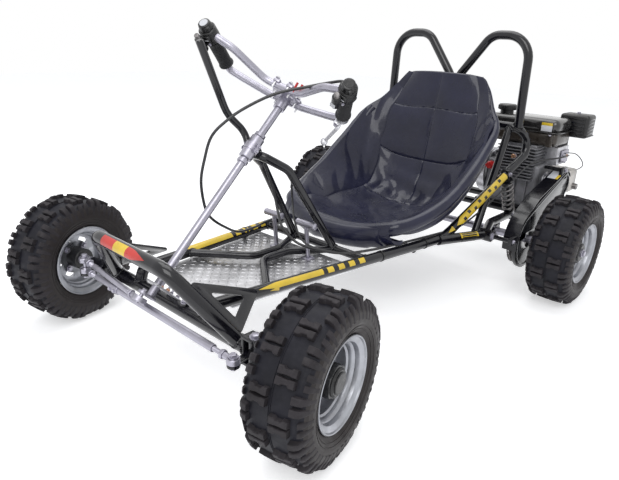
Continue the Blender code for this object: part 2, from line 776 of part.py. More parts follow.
def tyre_profile():
    """The tyre's outside from its left bead to its right one, as (x, radius)."""
    base = TYRE_RADIUS - LUG_HEIGHT
    half = TYRE_WIDTH / 2
    bead = RIM_FLANGE_X - 0.006
    right = [(0.075 * half, base), (0.58 * half, base - 0.001), (0.72 * half, base - 0.003),
             (0.93 * half, base - 0.013), (half, base - 0.030), (half - 0.003, base - 0.046),
             (bead, RIM_FLANGE_RADIUS + 0.003), (bead, RIM_SEAT_RADIUS + GAP)]
    return [(-x, r) for x, r in right[::-1]] + right


def tyre(name, parent):
    """A knobby tyre: a turned casing whose tread faces are drawn out as lugs."""
    profile = tyre_profile()
    shape = bmesh.new()
    rings = []
    step = 2 * math.pi / TYRE_SEGMENTS
    for index in range(TYRE_SEGMENTS):
        angle = (index + 0.5) * step
        rings.append([shape.verts.new((x, r * math.sin(angle), -r * math.cos(angle)))
                      for x, r in profile])
    lugs = []
    bands = len(profile)
    for index in range(TYRE_SEGMENTS):
        here, after = rings[index], rings[(index + 1) % TYRE_SEGMENTS]
        for band in range(bands):
            face = shape.faces.new((here[band], after[band], after[(band + 1) % bands],
                                    here[(band + 1) % bands]))
            centre = bands // 2 - 1
            even = index % 2 == 0
            if band in (centre - 1, centre + 3) and even:
                lugs.append(face)
            if band in (centre + 1, centre - 3) and not even:
                lugs.append(face)
    bmesh.ops.recalc_face_normals(shape, faces=shape.faces)
    made = bmesh.ops.extrude_face_region(shape, geom=lugs)["geom"]
    raised = [item for item in made if isinstance(item, bmesh.types.BMVert)]
    for vertex in raised:
        radius = math.hypot(vertex.co.y, vertex.co.z)
        reach = (radius + LUG_HEIGHT) / radius
        vertex.co.y *= reach
        vertex.co.z *= reach
    bmesh.ops.delete(shape, geom=lugs, context="FACES_ONLY")
    bmesh.ops.recalc_face_normals(shape, faces=shape.faces)
    piece = from_bmesh(name, shape)
    finish(piece, name, tread_rubber(), parent, smooth=False)


def mirrored_profile(points):
    """A profile's other half, in the order that goes on round the section."""
    return [(-x, radius) for x, radius in reversed(points)]


def rim(name, side, parent, shaft):
    """A dished steel rim with its hub, turned about the axle."""
    seat = RIM_SEAT_RADIUS
    inner = seat - RIM_WALL
    lip = RIM_FLANGE_X - 0.0057
    web = RIM_WEB_THICKNESS / 2
    flange = [(lip - 0.020, inner), (lip - 0.006, inner + 0.004),
              (RIM_FLANGE_X - 0.002, RIM_FLANGE_RADIUS - 0.006), (RIM_FLANGE_X, RIM_FLANGE_RADIUS),
              (lip, RIM_FLANGE_RADIUS), (lip, seat)]
    outer_half = [(HUB_OUTER_X, shaft), (HUB_OUTER_X, HUB_RADIUS), (-RIM_WEB_X + web, HUB_RADIUS),
                  (-RIM_WEB_X + web, inner)] + flange
    inner_half = mirrored_profile(flange) + [
        (-RIM_WEB_X - web, inner), (-RIM_WEB_X - web, HUB_RADIUS),
        (-HUB_INNER_X, HUB_RADIUS), (-HUB_INNER_X, shaft), (HUB_OUTER_X, shaft)]
    piece = turned("rim", outer_half + inner_half, TYRE_SEGMENTS)
    if side < 0:
        piece.data.transform(Matrix.Rotation(math.pi, 4, "Z"))
    finish(piece, name, rim_paint(), parent)


def front_wheels(kingpins):
    for side, word in ((1, "left"), (-1, "right")):
        reach = side * (FRONT_TRACK / 2 - KINGPIN_X)
        hub = pivot(word + "_front_wheel", (reach, 0, 0), kingpins[side])
        tyre(word + "_front_tyre", hub)
        rim(word + "_front_rim", side, hub, AXLE_RADIUS + BORE_GAP)


def rear_axle(root):
    """The live axle with its sprocket, brake disc and two wheels."""
    centre = pivot("rear_axle_line", (0, WHEELBASE, wheel_height()), root)
    half = REAR_TRACK / 2 + HUB_OUTER_X + 0.006
    axle = rod("axle", (-half, 0, 0), (half, 0, 0), AXLE_RADIUS, 16)
    teeth = []
    count = 20
    for index in range(4 * count):
        radius = SPROCKET_RADIUS if index % 4 in (0, 1) else SPROCKET_RADIUS - 0.006
        angle = 2 * math.pi * (index + 0.5) / (4 * count)
        teeth.append((radius * math.cos(angle), radius * math.sin(angle)))
    turn = Matrix.Rotation(math.radians(90), 4, "Y")
    gear = plate("gear", (teeth,), SPROCKET_THICKNESS, Matrix.Translation((SPROCKET_X, 0, 0)) @ turn)
    disc = plate("disc", (circle(0, 0, DISC_RADIUS, 24),), DISC_THICKNESS,
                 Matrix.Translation((DISC_X, 0, 0)) @ turn)
    axle = union(axle, gear, disc)
    finish(axle, "rear_axle", bright_steel(), centre)
    for side, word in ((1, "left"), (-1, "right")):
        hub = pivot(word + "_rear_wheel", (side * REAR_TRACK / 2, 0, 0), centre)
        tyre(word + "_rear_tyre", hub)
        rim(word + "_rear_rim", side, hub, AXLE_RADIUS + BORE_GAP)


def hoops(root):
    for side, word in ((1, "left"), (-1, "right")):
        hoop = tube("hoop", hoop_path(side), HOOP_RADIUS)
        for other in (1, -1):
            hoop = cut(hoop, tube("rail_cut", rail_path(other), RAIL_RADIUS + GAP))
        finish(hoop, word + "_roll_hoop", black_paint(), root)


def cross_plate(root):
    """The bolted plate under the top cross tube, behind the seat back."""
    low = CROSS_Z - 0.085
    shield = box("shield", (-0.165, CROSS_Y + 0.001, low),
                 (0.165, CROSS_Y + 0.006, CROSS_Z - 0.004), 0.0)
    shield = cut(shield, rod("cross_cut", (-0.2, CROSS_Y, CROSS_Z), (0.2, CROSS_Y, CROSS_Z),
                             RAIL_RADIUS + GAP, 16))
    finish(shield, "hoop_cross_plate", black_paint(), root, smooth=False)


def seat_grid():
    """The sling's surface as rows of points from the front lip to the top, placed from the rear axle."""
    spine = [(-0.540, 0.246), (-0.513, 0.236), (-0.448, SEAT_FLOOR_Z), (-0.328, SEAT_FLOOR_Z),
             (-0.208, SEAT_FLOOR_Z), (-0.128, 0.232), (-0.088, 0.290), (-0.062, 0.372),
             (-0.036, 0.480), (-0.016, 0.570), (-0.002, 0.648)]
    edge = [(0.196, -0.505, 0.276), (0.222, -0.448, 0.288), (0.244, -0.368, 0.316),
            (0.252, -0.298, 0.350), (0.256, -0.238, 0.392), (0.256, -0.178, 0.436),
            (0.254, -0.128, 0.478), (0.246, -0.083, 0.516), (0.225, -0.038, 0.552),
            (0.190, -0.003, 0.590), (0.138, 0.015, 0.640)]
    rows = []
    for (y, z), (ex, ey, ez) in zip(spine, edge):
        row = []
        for step in range(-5, 6):
            share = step / 5
            rise = abs(share) ** 2.4
            row.append((ex * share, WHEELBASE + y + (ey - y) * rise, z + (ez - z) * rise))
        rows.append(row)
    return rows


def seat(root):
    rows = seat_grid()
    shape = bmesh.new()
    made = [[shape.verts.new(point) for point in row] for row in rows]
    for low, high in zip(made, made[1:]):
        for k in range(len(low) - 1):
            shape.faces.new((low[k], low[k + 1], high[k + 1], high[k]))
    piece = from_bmesh("seat", shape)
    shell = piece.modifiers.new("thickness", "SOLIDIFY")
    shell.thickness = SEAT_THICKNESS
    shell.offset = -1.0
    piece = as_mesh(piece)
    finish(piece, "seat", seat_vinyl(), root)


def lower_rail_path(side):
    return straight(*sided([(RAIL_BEND_X, RAIL_BEND_Y - 0.03, RAIL_BEND_Z),
                            (PIVOT_X, PIVOT_Y, PIVOT_Z)], side))


def swing_arm_path():
    half = [(PIVOT_X, PIVOT_Y, PIVOT_Z), (SWING_ARM_X, WHEELBASE - 0.038, SWING_ARM_Z),
            (SWING_ARM_X, SWING_ARM_REAR_Y, SWING_ARM_Z)]
    return rounded_path(half + mirrored(half)[::-1], (0.06, 0.04, 0.04, 0.06))


def pivot_boss(side, room):
    """The swing arm's pivot boss, drawn out by the room left round it."""
    return rod("boss", (side * (PIVOT_X - 0.022 - room), PIVOT_Y, PIVOT_Z),
               (side * (PIVOT_X + PIVOT_BOSS_REACH + room), PIVOT_Y, PIVOT_Z), PIVOT_BOSS_RADIUS + room)


def lower_rails(root):
    """Lower rear rails out to the swing arm's pivots, with their diagonal braces."""
    for side, word in ((1, "left"), (-1, "right")):
        rail = tube("lower", lower_rail_path(side), LOWER_RAIL_RADIUS)
        rail = cut(rail, tube("rail_cut", rail_path(side), RAIL_RADIUS + GAP), pivot_boss(side, GAP))
        finish(rail, word + "_lower_rail", black_paint(), root)
        brace_points = sided([(PIVOT_X - 0.018, PIVOT_Y - 0.035, PIVOT_Z + 0.003),
                              (CROSS_X - 0.030, CROSS_Y, CROSS_Z)], side)
        brace = tube("brace", straight(*brace_points), BRACE_RADIUS)
        brace = cut(brace, pivot_boss(side, GAP), tube("rail_cut", rail_path(side), RAIL_RADIUS + GAP),
                    tube("lower_cut", lower_rail_path(side), LOWER_RAIL_RADIUS + GAP))
        finish(brace, word + "_diagonal_brace", black_paint(), root)


def swing_arm(root):
    """The U-shaped arm that carries the axle and the engine, with its pivot bosses."""
    arm = tube("arm", swing_arm_path(), SWING_ARM_RADIUS)
    bar = rod("bar", (-SWING_ARM_X, ENGINE_BAR_Y, SWING_ARM_Z), (SWING_ARM_X, ENGINE_BAR_Y, SWING_ARM_Z),
              SWING_ARM_RADIUS - 0.001, 8)
    arm = union(arm, bar)
    for side in (1, -1):
        carrier = rod("carrier", (side * (SWING_ARM_X - CARRIER_WIDTH / 2), WHEELBASE, wheel_height()),
                      (side * (SWING_ARM_X + CARRIER_WIDTH / 2), WHEELBASE, wheel_height()),
                      CARRIER_RADIUS, 16)
        arm = union(arm, pivot_boss(side, 0.0), carrier)
    reach = SWING_ARM_X + CARRIER_WIDTH
    for side in (1, -1):
        arm = cut(arm, rod("axle_cut", (side * (SWING_ARM_X - CARRIER_WIDTH), WHEELBASE, wheel_height()),
                           (side * reach, WHEELBASE, wheel_height()), AXLE_RADIUS + CARRIER_CLEARANCE, 16))
    finish(arm, "swing_arm", black_paint(), root)


def shock_profile(length):
    """Half section of a coil-over shock, from its top eye to its foot."""
    profile = [(length, 0.0), (length, 0.009), (length - 0.016, 0.009), (length - 0.016, 0.017),
               (length - 0.030, 0.017)]
    low, high = 0.018, length - 0.030
    turns = 6
    for index in range(turns):
        top = high - (high - low) * index / turns
        bottom = high - (high - low) * (index + 1) / turns
        profile += [(top - 0.001, SHOCK_RADIUS - 0.007), ((top + bottom) / 2, SHOCK_RADIUS)]
    profile += [(low, SHOCK_RADIUS - 0.006), (low - 0.003, 0.009), (0.0, 0.009), (0.0, 0.0)]
    return profile


def shocks(root):
    for side, word in ((1, "left"), (-1, "right")):
        share = (SHOCK_TOP_Y - RAIL_BEND_Y) / (RAIL_REAR_Y - RAIL_BEND_Y)
        top = Vector((side * (RAIL_BEND_X + (RAIL_REAR_X - RAIL_BEND_X) * share), SHOCK_TOP_Y,
                      RAIL_BEND_Z + (RAIL_REAR_Z - RAIL_BEND_Z) * share))
        foot = Vector((side * SWING_ARM_X, SHOCK_FOOT_Y, SWING_ARM_Z))
        shock = turned("shock", shock_profile((top - foot).length), 10)
        turn = Vector((1, 0, 0)).rotation_difference(top - foot).to_matrix().to_4x4()
        shock.data.transform(Matrix.Translation(foot) @ turn)
        shock = cut(shock, tube("rail_cut", rail_path(side), RAIL_RADIUS + GAP),
                    tube("arm_cut", swing_arm_path(), SWING_ARM_RADIUS + GAP))
        finish(shock, word + "_shock", bright_steel(), root)


def engine(root):
    """Engine block on its plate, with fins, shaft and carburettor."""
    plate_floor = SWING_ARM_Z + SWING_ARM_RADIUS + GAP
    deck = plate_floor + ENGINE_PLATE
    base = box("base", (ENGINE_RIGHT_X - 0.02, ENGINE_BAR_Y - 0.012, plate_floor),
               (ENGINE_LEFT_X + 0.01, SWING_ARM_REAR_Y + 0.010, deck), 0.0)
    finish(base, "engine_plate", black_paint(), root, smooth=False)
    floor = deck + GAP
    block = box("block", (ENGINE_RIGHT_X, ENGINE_FRONT_Y + 0.024, floor),
                (ENGINE_LEFT_X, ENGINE_REAR_Y, SHAFT_Z + 0.070), 0.012)
    comb = [(ENGINE_REAR_Y - 0.030, TANK_FLOOR_Z - GAP), (ENGINE_FRONT_Y + 0.035, TANK_FLOOR_Z - GAP)]
    top, low = TANK_FLOOR_Z - 0.012, SHAFT_Z + 0.005
    pitch = (top - low) / FIN_COUNT
    for index in range(FIN_COUNT):
        edge = top - pitch * index
        comb += [(ENGINE_FRONT_Y + 0.030, edge), (ENGINE_FRONT_Y, edge - pitch * 0.15),
                 (ENGINE_FRONT_Y, edge - pitch * 0.45), (ENGINE_FRONT_Y + 0.030, edge - pitch * 0.60)]
    comb += [(ENGINE_FRONT_Y + 0.060, low), (ENGINE_REAR_Y - 0.030, low)]
    middle = (ENGINE_LEFT_X + ENGINE_RIGHT_X) / 2 + 0.015
    fins = plate("fins", (comb,), 0.130, across_frame(middle))
    shaft = rod("shaft", (ENGINE_LEFT_X - 0.01, SHAFT_Y, SHAFT_Z),
                (SPROCKET_X + SPROCKET_THICKNESS, SHAFT_Y, SHAFT_Z), SHAFT_RADIUS)
    boss = rod("boss", (ENGINE_LEFT_X - 0.01, SHAFT_Y, SHAFT_Z),
               (ENGINE_LEFT_X + 0.012, SHAFT_Y, SHAFT_Z), 0.032)
    gear = rod("gear", (SPROCKET_X - SPROCKET_THICKNESS / 2, SHAFT_Y, SHAFT_Z),
               (SPROCKET_X + SPROCKET_THICKNESS / 2, SHAFT_Y, SHAFT_Z), DRIVE_SPROCKET_RADIUS, 16)
    intake = box("intake", (ENGINE_LEFT_X - 0.033, ENGINE_REAR_Y - 0.050, SHAFT_Z + 0.052),
                 (ENGINE_LEFT_X + 0.025, ENGINE_REAR_Y + 0.050, TANK_FLOOR_Z - 0.006), 0.004)
    neck_x, neck_y = ENGINE_LEFT_X + 0.007, ENGINE_REAR_Y + 0.030
    neck = rod("neck", (neck_x, neck_y, SHAFT_Z + 0.08), (neck_x, neck_y, AIR_CLEANER_Z - GAP), 0.016)
    block = union(block, fins, boss, shaft, gear, intake, neck)
    finish(block, "engine_block", cast_grey(), root)


def engine_covers(root):
    """The recoil starter on the right, the muffler behind and the red oil filler in front."""
    height = SHAFT_Z + 0.005
    recoil = rod("recoil", (ENGINE_RIGHT_X - GAP, SHAFT_Y, height),
                 (ENGINE_RIGHT_X - 0.035, SHAFT_Y, height), 0.082, 24)
    cap = rod("cap", (ENGINE_RIGHT_X - 0.030, SHAFT_Y, height),
              (ENGINE_RIGHT_X - 0.052, SHAFT_Y, height), 0.050, 16)
    finish(union(recoil, cap), "recoil_starter", bright_steel(), root)
    muffler = box("muffler", (ENGINE_RIGHT_X + 0.055, ENGINE_REAR_Y + GAP, SHAFT_Z - 0.043),
                  (ENGINE_LEFT_X + 0.067, ENGINE_REAR_Y + 0.062, SHAFT_Z + 0.040), 0.014)
    finish(muffler, "muffler", bright_steel(), root)
    filler_x, filler_z = ENGINE_RIGHT_X + 0.025, SHAFT_Z + 0.040
    filler = rod("filler", (filler_x, ENGINE_FRONT_Y + 0.024 - GAP, filler_z),
                 (filler_x, ENGINE_FRONT_Y - 0.012, filler_z), 0.014)
    finish(filler, "oil_filler_cap", red_plastic(), root)


def fuel_tank(root):
    tank = box("tank", (TANK_RIGHT_X, TANK_FRONT_Y, TANK_FLOOR_Z),
               (TANK_LEFT_X, TANK_REAR_Y, TANK_FLOOR_Z + TANK_HEIGHT), 0.016)
    seam = TANK_FLOOR_Z + TANK_HEIGHT / 2
    flange = box("flange", (TANK_RIGHT_X - 0.005, TANK_FRONT_Y - 0.005, seam),
                 (TANK_LEFT_X + 0.005, TANK_REAR_Y + 0.003, seam + 0.004), 0.0)
    finish(union(tank, flange), "fuel_tank", black_paint(), root)
    top = TANK_FLOOR_Z + TANK_HEIGHT + GAP
    cap_x, cap_y = TANK_RIGHT_X + 0.047, TANK_REAR_Y - 0.075
    cap = rod("cap", (cap_x, cap_y, top), (cap_x, cap_y, top + 0.014), 0.022)
    lid = rod("lid", (cap_x, cap_y, top + 0.010), (cap_x, cap_y, top + 0.030), 0.031, 16)
    finish(union(cap, lid), "fuel_cap", black_plastic(), root)


def air_cleaner(root):
    """The air cleaner box, with its row of louvres cut in the left and rear walls."""
    low = Vector((0.292, TANK_REAR_Y + 0.006, AIR_CLEANER_Z))
    high = Vector((0.390, TANK_REAR_Y + 0.082, AIR_CLEANER_Z + 0.078))
    body = box("cleaner", low, high, 0.010)
    for index in range(4):
        z = low.z + 0.016 + 0.013 * index
        body = cut(body, box("louvre", (high.x - 0.006, low.y + 0.014, z),
                             (high.x + 0.01, high.y - 0.014, z + 0.006)))
        body = cut(body, box("louvre", (low.x + 0.014, high.y - 0.006, z),
                             (high.x - 0.014, high.y + 0.01, z + 0.006)))
    finish(body, "air_cleaner", black_plastic(), root, smooth=False)


def chain_line(offset, steps=7):
    """The chain's loop round both sprockets, drawn out by an offset."""
    rear = Vector((SHAFT_Y, SHAFT_Z))
    front = Vector((WHEELBASE, wheel_height()))
    small = DRIVE_SPROCKET_RADIUS + BORE_GAP + offset
    large = SPROCKET_RADIUS + CHAIN_CLEARANCE + offset
    way = rear - front
    base = math.atan2(way.y, way.x)
    lean = math.acos((large - small) / way.length)
    points = []
    for step in range(2 * steps + 1):
        angle = base + lean + (2 * math.pi - 2 * lean) * step / (2 * steps)
        points.append((front.x + large * math.cos(angle), front.y + large * math.sin(angle)))
    for step in range(steps + 1):
        angle = base - lean + 2 * lean * step / steps
        points.append((rear.x + small * math.cos(angle), rear.y + small * math.sin(angle)))
    return points


def across_frame(x):
    """A matrix that stands a plate's outline of (y, z) points across the kart at x."""
    along_x = Matrix(((0, 0, 1, 0), (1, 0, 0, 0), (0, 1, 0, 0), (0, 0, 0, 1)))
    return Matrix.Translation((x, 0, 0)) @ along_x


def drive_chain(root):
    inner = chain_line(0.0)
    outer = chain_line(CHAIN_DEPTH)
    chain = plate("chain", (outer, inner), CHAIN_WIDTH, across_frame(SPROCKET_X))
    finish(chain, "drive_chain", bright_steel(), root)


def chain_guard(root):
    """The cover outside the chain, on stays from the pivot boss and the engine."""
    cover = chain_line(CHAIN_DEPTH + 0.010)
    guard = plate("guard", (cover,), GUARD_THICKNESS, across_frame(GUARD_X + GUARD_THICKNESS / 2))
    front_stay = rod("stay", (PIVOT_X + PIVOT_BOSS_REACH + GAP, PIVOT_Y, PIVOT_Z),
                     (GUARD_X + 0.004, PIVOT_Y, PIVOT_Z), 0.007, 8)
    stay_y, stay_z = SHAFT_Y - 0.020, SHAFT_Z + 0.052
    rear_stay = rod("stay", (ENGINE_LEFT_X - 0.02, stay_y, stay_z), (GUARD_X + 0.004, stay_y, stay_z),
                    0.006, 8)
    lobe = box("lobe", (GUARD_X, SHAFT_Y - 0.045, SHAFT_Z + 0.02),
               (GUARD_X + GUARD_THICKNESS, SHAFT_Y + 0.005, SHAFT_Z + 0.062), 0.003)
    toe = box("toe", (GUARD_X, PIVOT_Y - 0.012, PIVOT_Z - 0.012),
              (GUARD_X + GUARD_THICKNESS, WHEELBASE, PIVOT_Z + 0.012), 0.003)
    guard = union(guard, lobe, toe, front_stay, rear_stay)
    axle_hole = rod("axle_cut", (GUARD_X - 0.01, WHEELBASE, wheel_height()),
                    (GUARD_X + 0.03, WHEELBASE, wheel_height()), 0.026)
    block_room = box("block_cut", (ENGINE_RIGHT_X, ENGINE_FRONT_Y, SWING_ARM_Z),
                     (ENGINE_LEFT_X + GAP, ENGINE_REAR_Y, SHAFT_Z + 0.070 + GAP))
    guard = cut(guard, axle_hole, block_room)
    finish(guard, "chain_guard", black_paint(), root)


def brake_caliper(root):
    """The caliper over the rear disc, on a stay from the swing arm."""
    half = DISC_THICKNESS / 2 + DISC_CLEARANCE
    y, z = WHEELBASE + 0.050, wheel_height() + 0.040
    body = box("caliper", (DISC_X - half - 0.010, y - 0.012, z - 0.020),
               (DISC_X + half + 0.012, y + 0.040, z + 0.030), 0.003)
    body = cut(body, box("slot", (DISC_X - half, y - 0.1, z - 0.1), (DISC_X + half, y + 0.028, z + 0.1)))
    stay = box("stay", (DISC_X + half + 0.002, y + 0.012, z - 0.014),
               (-SWING_ARM_X, y + 0.030, z - 0.002), 0.0)
    body = union(body, stay)
    body = cut(body, tube("arm_cut", swing_arm_path(), SWING_ARM_RADIUS + GAP))
    finish(body, "brake_caliper", cast_grey(), root)


def hand_lever(root):
    """The tall one-sided lever that rises from the steering support's bush."""
    foot = column_point((SLEEVE_START + SLEEVE_END) / 2, -0.004) + Vector((-0.024, 0.010, -0.010))
    path = rounded_path([foot, (-0.050, 0.262, 0.520), (-0.062, 0.214, 0.566), (-0.062, 0.140, 0.727)],
                        (0.04, 0.10))
    lever = tube("lever", path, LEVER_RADIUS)
    lever = cut(lever, tube("support_cut", support_path(), SUPPORT_RADIUS + GAP),
                rod("sleeve_cut", column_point(SLEEVE_START - 0.01), column_point(SLEEVE_END + 0.01),
                    SLEEVE_RADIUS + GAP, 16))
    finish(lever, "hand_lever", black_paint(), root)


def foot_pedals(root):
    """Foot pegs standing on the floor plate, one for each foot."""
    top = FLOOR_TOP_Z + GAP
    for side, word in ((1, "left"), (-1, "right")):
        x = side * 0.060
        post = rod("post", (x, 0.385, top + 0.002), (x, 0.372, top + 0.105), 0.006)
        pad = rod("pad", (x - 0.032, 0.373, top + 0.100), (x + 0.032, 0.373, top + 0.100), 0.009)
        foot = box("foot", (x - 0.014, 0.372, top), (x + 0.014, 0.398, top + 0.005))
        finish(union(pad, post, foot), word + "_foot_peg", bright_steel(), root)


def main():
    global PARTS, ORIGIN
    clear_scene()
    PARTS = bpy.data.collections.new(VEHICLE)
    bpy.context.scene.collection.children.link(PARTS)
    ORIGIN = pivot("kart", (0, FRONT_AXLE_Y, 0), None)
    root = ORIGIN
    main_rails(root)
    front_beam(root)
    bumper(root)
    gusset_plates(root)
    inner_rails(root)
    cross_tubes(root)
    floor_plate(root)
    steering_support(root)
    column_bracket(root)
    wound = column_turn() @ Matrix.Rotation(STEERED_ANGLE / STEERING_RATIO, 3, "Z").to_quaternion()
    steer = pivot("steering", column_point(0), root, wound)
    steering(steer)
    controls(steer)
    kingpins = {}
    for side, word in ((1, "left"), (-1, "right")):
        spin = Matrix.Rotation(STEERED_ANGLE, 3, "Z").to_quaternion()
        kingpins[side] = pivot(word + "_kingpin", (side * KINGPIN_X, 0, wheel_height()), root, spin)
        knuckle(side, word, kingpins[side])
    swing = Vector((KNUCKLE_ARM * math.sin(STEERED_ANGLE), -KNUCKLE_ARM * math.cos(STEERED_ANGLE), 0))
    left_pin = pivot("tie_rod_pin", Vector((KINGPIN_X, 0, TIE_ROD_Z)) + swing, root)
    tie_rod(root, left_pin)
    right_pin = pivot("drag_link_pin", Vector((-KINGPIN_X, 0, DRAG_LINK_Z)) + swing, root)
    reach = OPEN_EYE_OFFSET - PITMAN_ARM
    pitman = wound @ Vector((0, reach, COLUMN_BOTTOM - OPEN_EYE_DROP)) + column_point(0)
    drag_link(right_pin, pitman - right_pin.location)
    front_wheels(kingpins)
    rear_axle(root)
    hoops(root)
    cross_plate(root)
    seat(root)
    lower_rails(root)
    swing_arm(root)
    shocks(root)
    engine(root)
    engine_covers(root)
    fuel_tank(root)
    air_cleaner(root)
    drive_chain(root)
    chain_guard(root)
    brake_caliper(root)
    hand_lever(root)
    foot_pedals(root)


main()
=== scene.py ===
"""Drift kart: the visual model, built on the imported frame.

Places are in metres, measured rearward from the front axle as in the CAD source,
and SHIFT moves them to the row frame. The driver's left is +X.
"""
import bpy
import bmesh
import math
from mathutils import Matrix, Vector, noise


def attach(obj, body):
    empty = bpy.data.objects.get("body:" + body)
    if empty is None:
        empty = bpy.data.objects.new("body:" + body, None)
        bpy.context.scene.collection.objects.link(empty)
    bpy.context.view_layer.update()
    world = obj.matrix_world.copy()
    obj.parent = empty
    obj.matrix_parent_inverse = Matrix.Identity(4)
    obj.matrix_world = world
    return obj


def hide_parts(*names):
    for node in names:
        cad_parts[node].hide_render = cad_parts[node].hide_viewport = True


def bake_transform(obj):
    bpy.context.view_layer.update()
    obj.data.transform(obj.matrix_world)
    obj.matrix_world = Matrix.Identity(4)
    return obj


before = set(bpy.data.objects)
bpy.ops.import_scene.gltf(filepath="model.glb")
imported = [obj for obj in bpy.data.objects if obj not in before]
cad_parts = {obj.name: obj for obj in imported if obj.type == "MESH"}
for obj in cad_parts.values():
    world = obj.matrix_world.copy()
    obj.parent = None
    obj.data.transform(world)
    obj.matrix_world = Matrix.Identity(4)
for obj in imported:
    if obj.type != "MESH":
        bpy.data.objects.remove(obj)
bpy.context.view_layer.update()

SHIFT = Vector((0.0, -0.6426, 0.0))

# Camera and light
CAMERA_PLACE = (0.98026, -1.27667, 0.74195)
CAMERA_AZIMUTH, CAMERA_ELEVATION, CAMERA_ROLL = 41.9898, 19.9723, 2.4586
CAMERA_LENS = 32.284
FLOOR_GLOW = 0.5

# Sides and directions
SIDES = ((1, "left"), (-1, "right"))
UP, LEFT = (0, 0, 1), (1, 0, 0)

# Turns a lathe's axis from Z to X
ABOUT_X = Matrix.Rotation(math.radians(90), 4, "Y")

# Sizes shared with the CAD
WHEELBASE = 1.088
FRONT_REACH = 0.838 / 2 - 0.282
REAR_REACH = 0.981 / 2
TYRE_RADIUS = 0.166
WHEEL_Z = TYRE_RADIUS * math.cos(math.pi / 24)
STEERED = math.radians(12.0)
KINGPIN_X = 0.282
KINGPIN_ROOM = 0.011 + 0.008
KNUCKLE_ARM = 0.07
COLUMN_CROSSING_Z = 0.256
COLUMN_TOP = 0.48
COLUMN_BOTTOM = -0.083
PITMAN_ARM = 0.035
TIE_ROD_Z = 0.182
DRAG_LINK_Z = 0.21
YOKE_RADIUS = 0.009
LEVEL = COLUMN_TOP + YOKE_RADIUS
BEAM_Z = 0.165
RAIL_RADIUS = 0.014
BEAM_RADIUS = 0.0165
BUMPER_RADIUS = 0.016
LOWER_RADIUS = 0.0155
BRACE_RADIUS = 0.012
INNER_RADIUS = 0.01
SUPPORT_RADIUS = 0.011
SLEEVE_RADIUS = 0.0165
ARM_RADIUS = 0.014
BAR_RADIUS = 0.013
RAIL_FRONT = (0.134, 0.012, 0.208)
RAIL_BEND = (0.232, 0.79, 0.2)
RAIL_REAR = (0.276, 1.245, 0.428)
CROSS = (0.252, 1.165, 0.497)
PIVOT = (0.28, 0.965, 0.184)
SWING_X, SWING_Z, SWING_REAR_Y = 0.255, 0.198, 1.405
ENGINE_BAR_Y = 1.262
FLOOR_TOP = 0.189
FRONT_TUBE_Y = 0.47
SEAT_TUBE_Y = 0.66
SEAT_UNDERSIDE_Z = 0.218 - 0.014
TOUCH = 0.0003
PLATE = 0.006
SPROCKET_X = 0.345
SPROCKET_RADIUS = 0.075
PINION_RADIUS = 0.026
DISC_X = -0.33
SHAFT_Y, SHAFT_Z = 1.335, 0.305

# Sizes of small forms
TREAD_UNITS = 12
THREAD_PITCH = 0.0016
WELD_BEAD = 0.0024


# Light, floor and camera

def point_at(item, target):
    item.rotation_euler = (Vector(target) - item.location).to_track_quat("-Z", "Y").to_euler()


def area_light(name, place, target, size, power):
    data = bpy.data.lights.new(name, "AREA")
    data.size = size
    data.energy = power
    lamp = bpy.data.objects.new(name, data)
    lamp.location = place
    bpy.context.scene.collection.objects.link(lamp)
    point_at(lamp, target)


def seen_white(tree, shade, strength, world=False):
    """Adds white that only camera and glossy rays see."""
    path = tree.nodes.new("ShaderNodeLightPath")
    either = tree.nodes.new("ShaderNodeMath")
    either.operation = "MAXIMUM"
    tree.links.new(path.outputs["Is Camera Ray"], either.inputs[0])
    tree.links.new(path.outputs["Is Glossy Ray"], either.inputs[1])
    glow = tree.nodes.new("ShaderNodeBackground" if world else "ShaderNodeEmission")
    glow.inputs["Color"].default_value = (1, 1, 1, 1)
    glow.inputs["Strength"].default_value = strength
    mix = tree.nodes.new("ShaderNodeMixShader" if world else "ShaderNodeAddShader")
    if world:
        tree.links.new(either.outputs[0], mix.inputs[0])
        tree.links.new(shade, mix.inputs[1])
        tree.links.new(glow.outputs[0], mix.inputs[2])
    else:
        dark = tree.nodes.new("ShaderNodeMixShader")
        none = tree.nodes.new("ShaderNodeEmission")
        none.inputs["Strength"].default_value = 0.0
        tree.links.new(either.outputs[0], dark.inputs[0])
        tree.links.new(none.outputs[0], dark.inputs[1])
        tree.links.new(glow.outputs[0], dark.inputs[2])
        tree.links.new(shade, mix.inputs[0])
        tree.links.new(dark.outputs[0], mix.inputs[1])
    return mix.outputs[0]


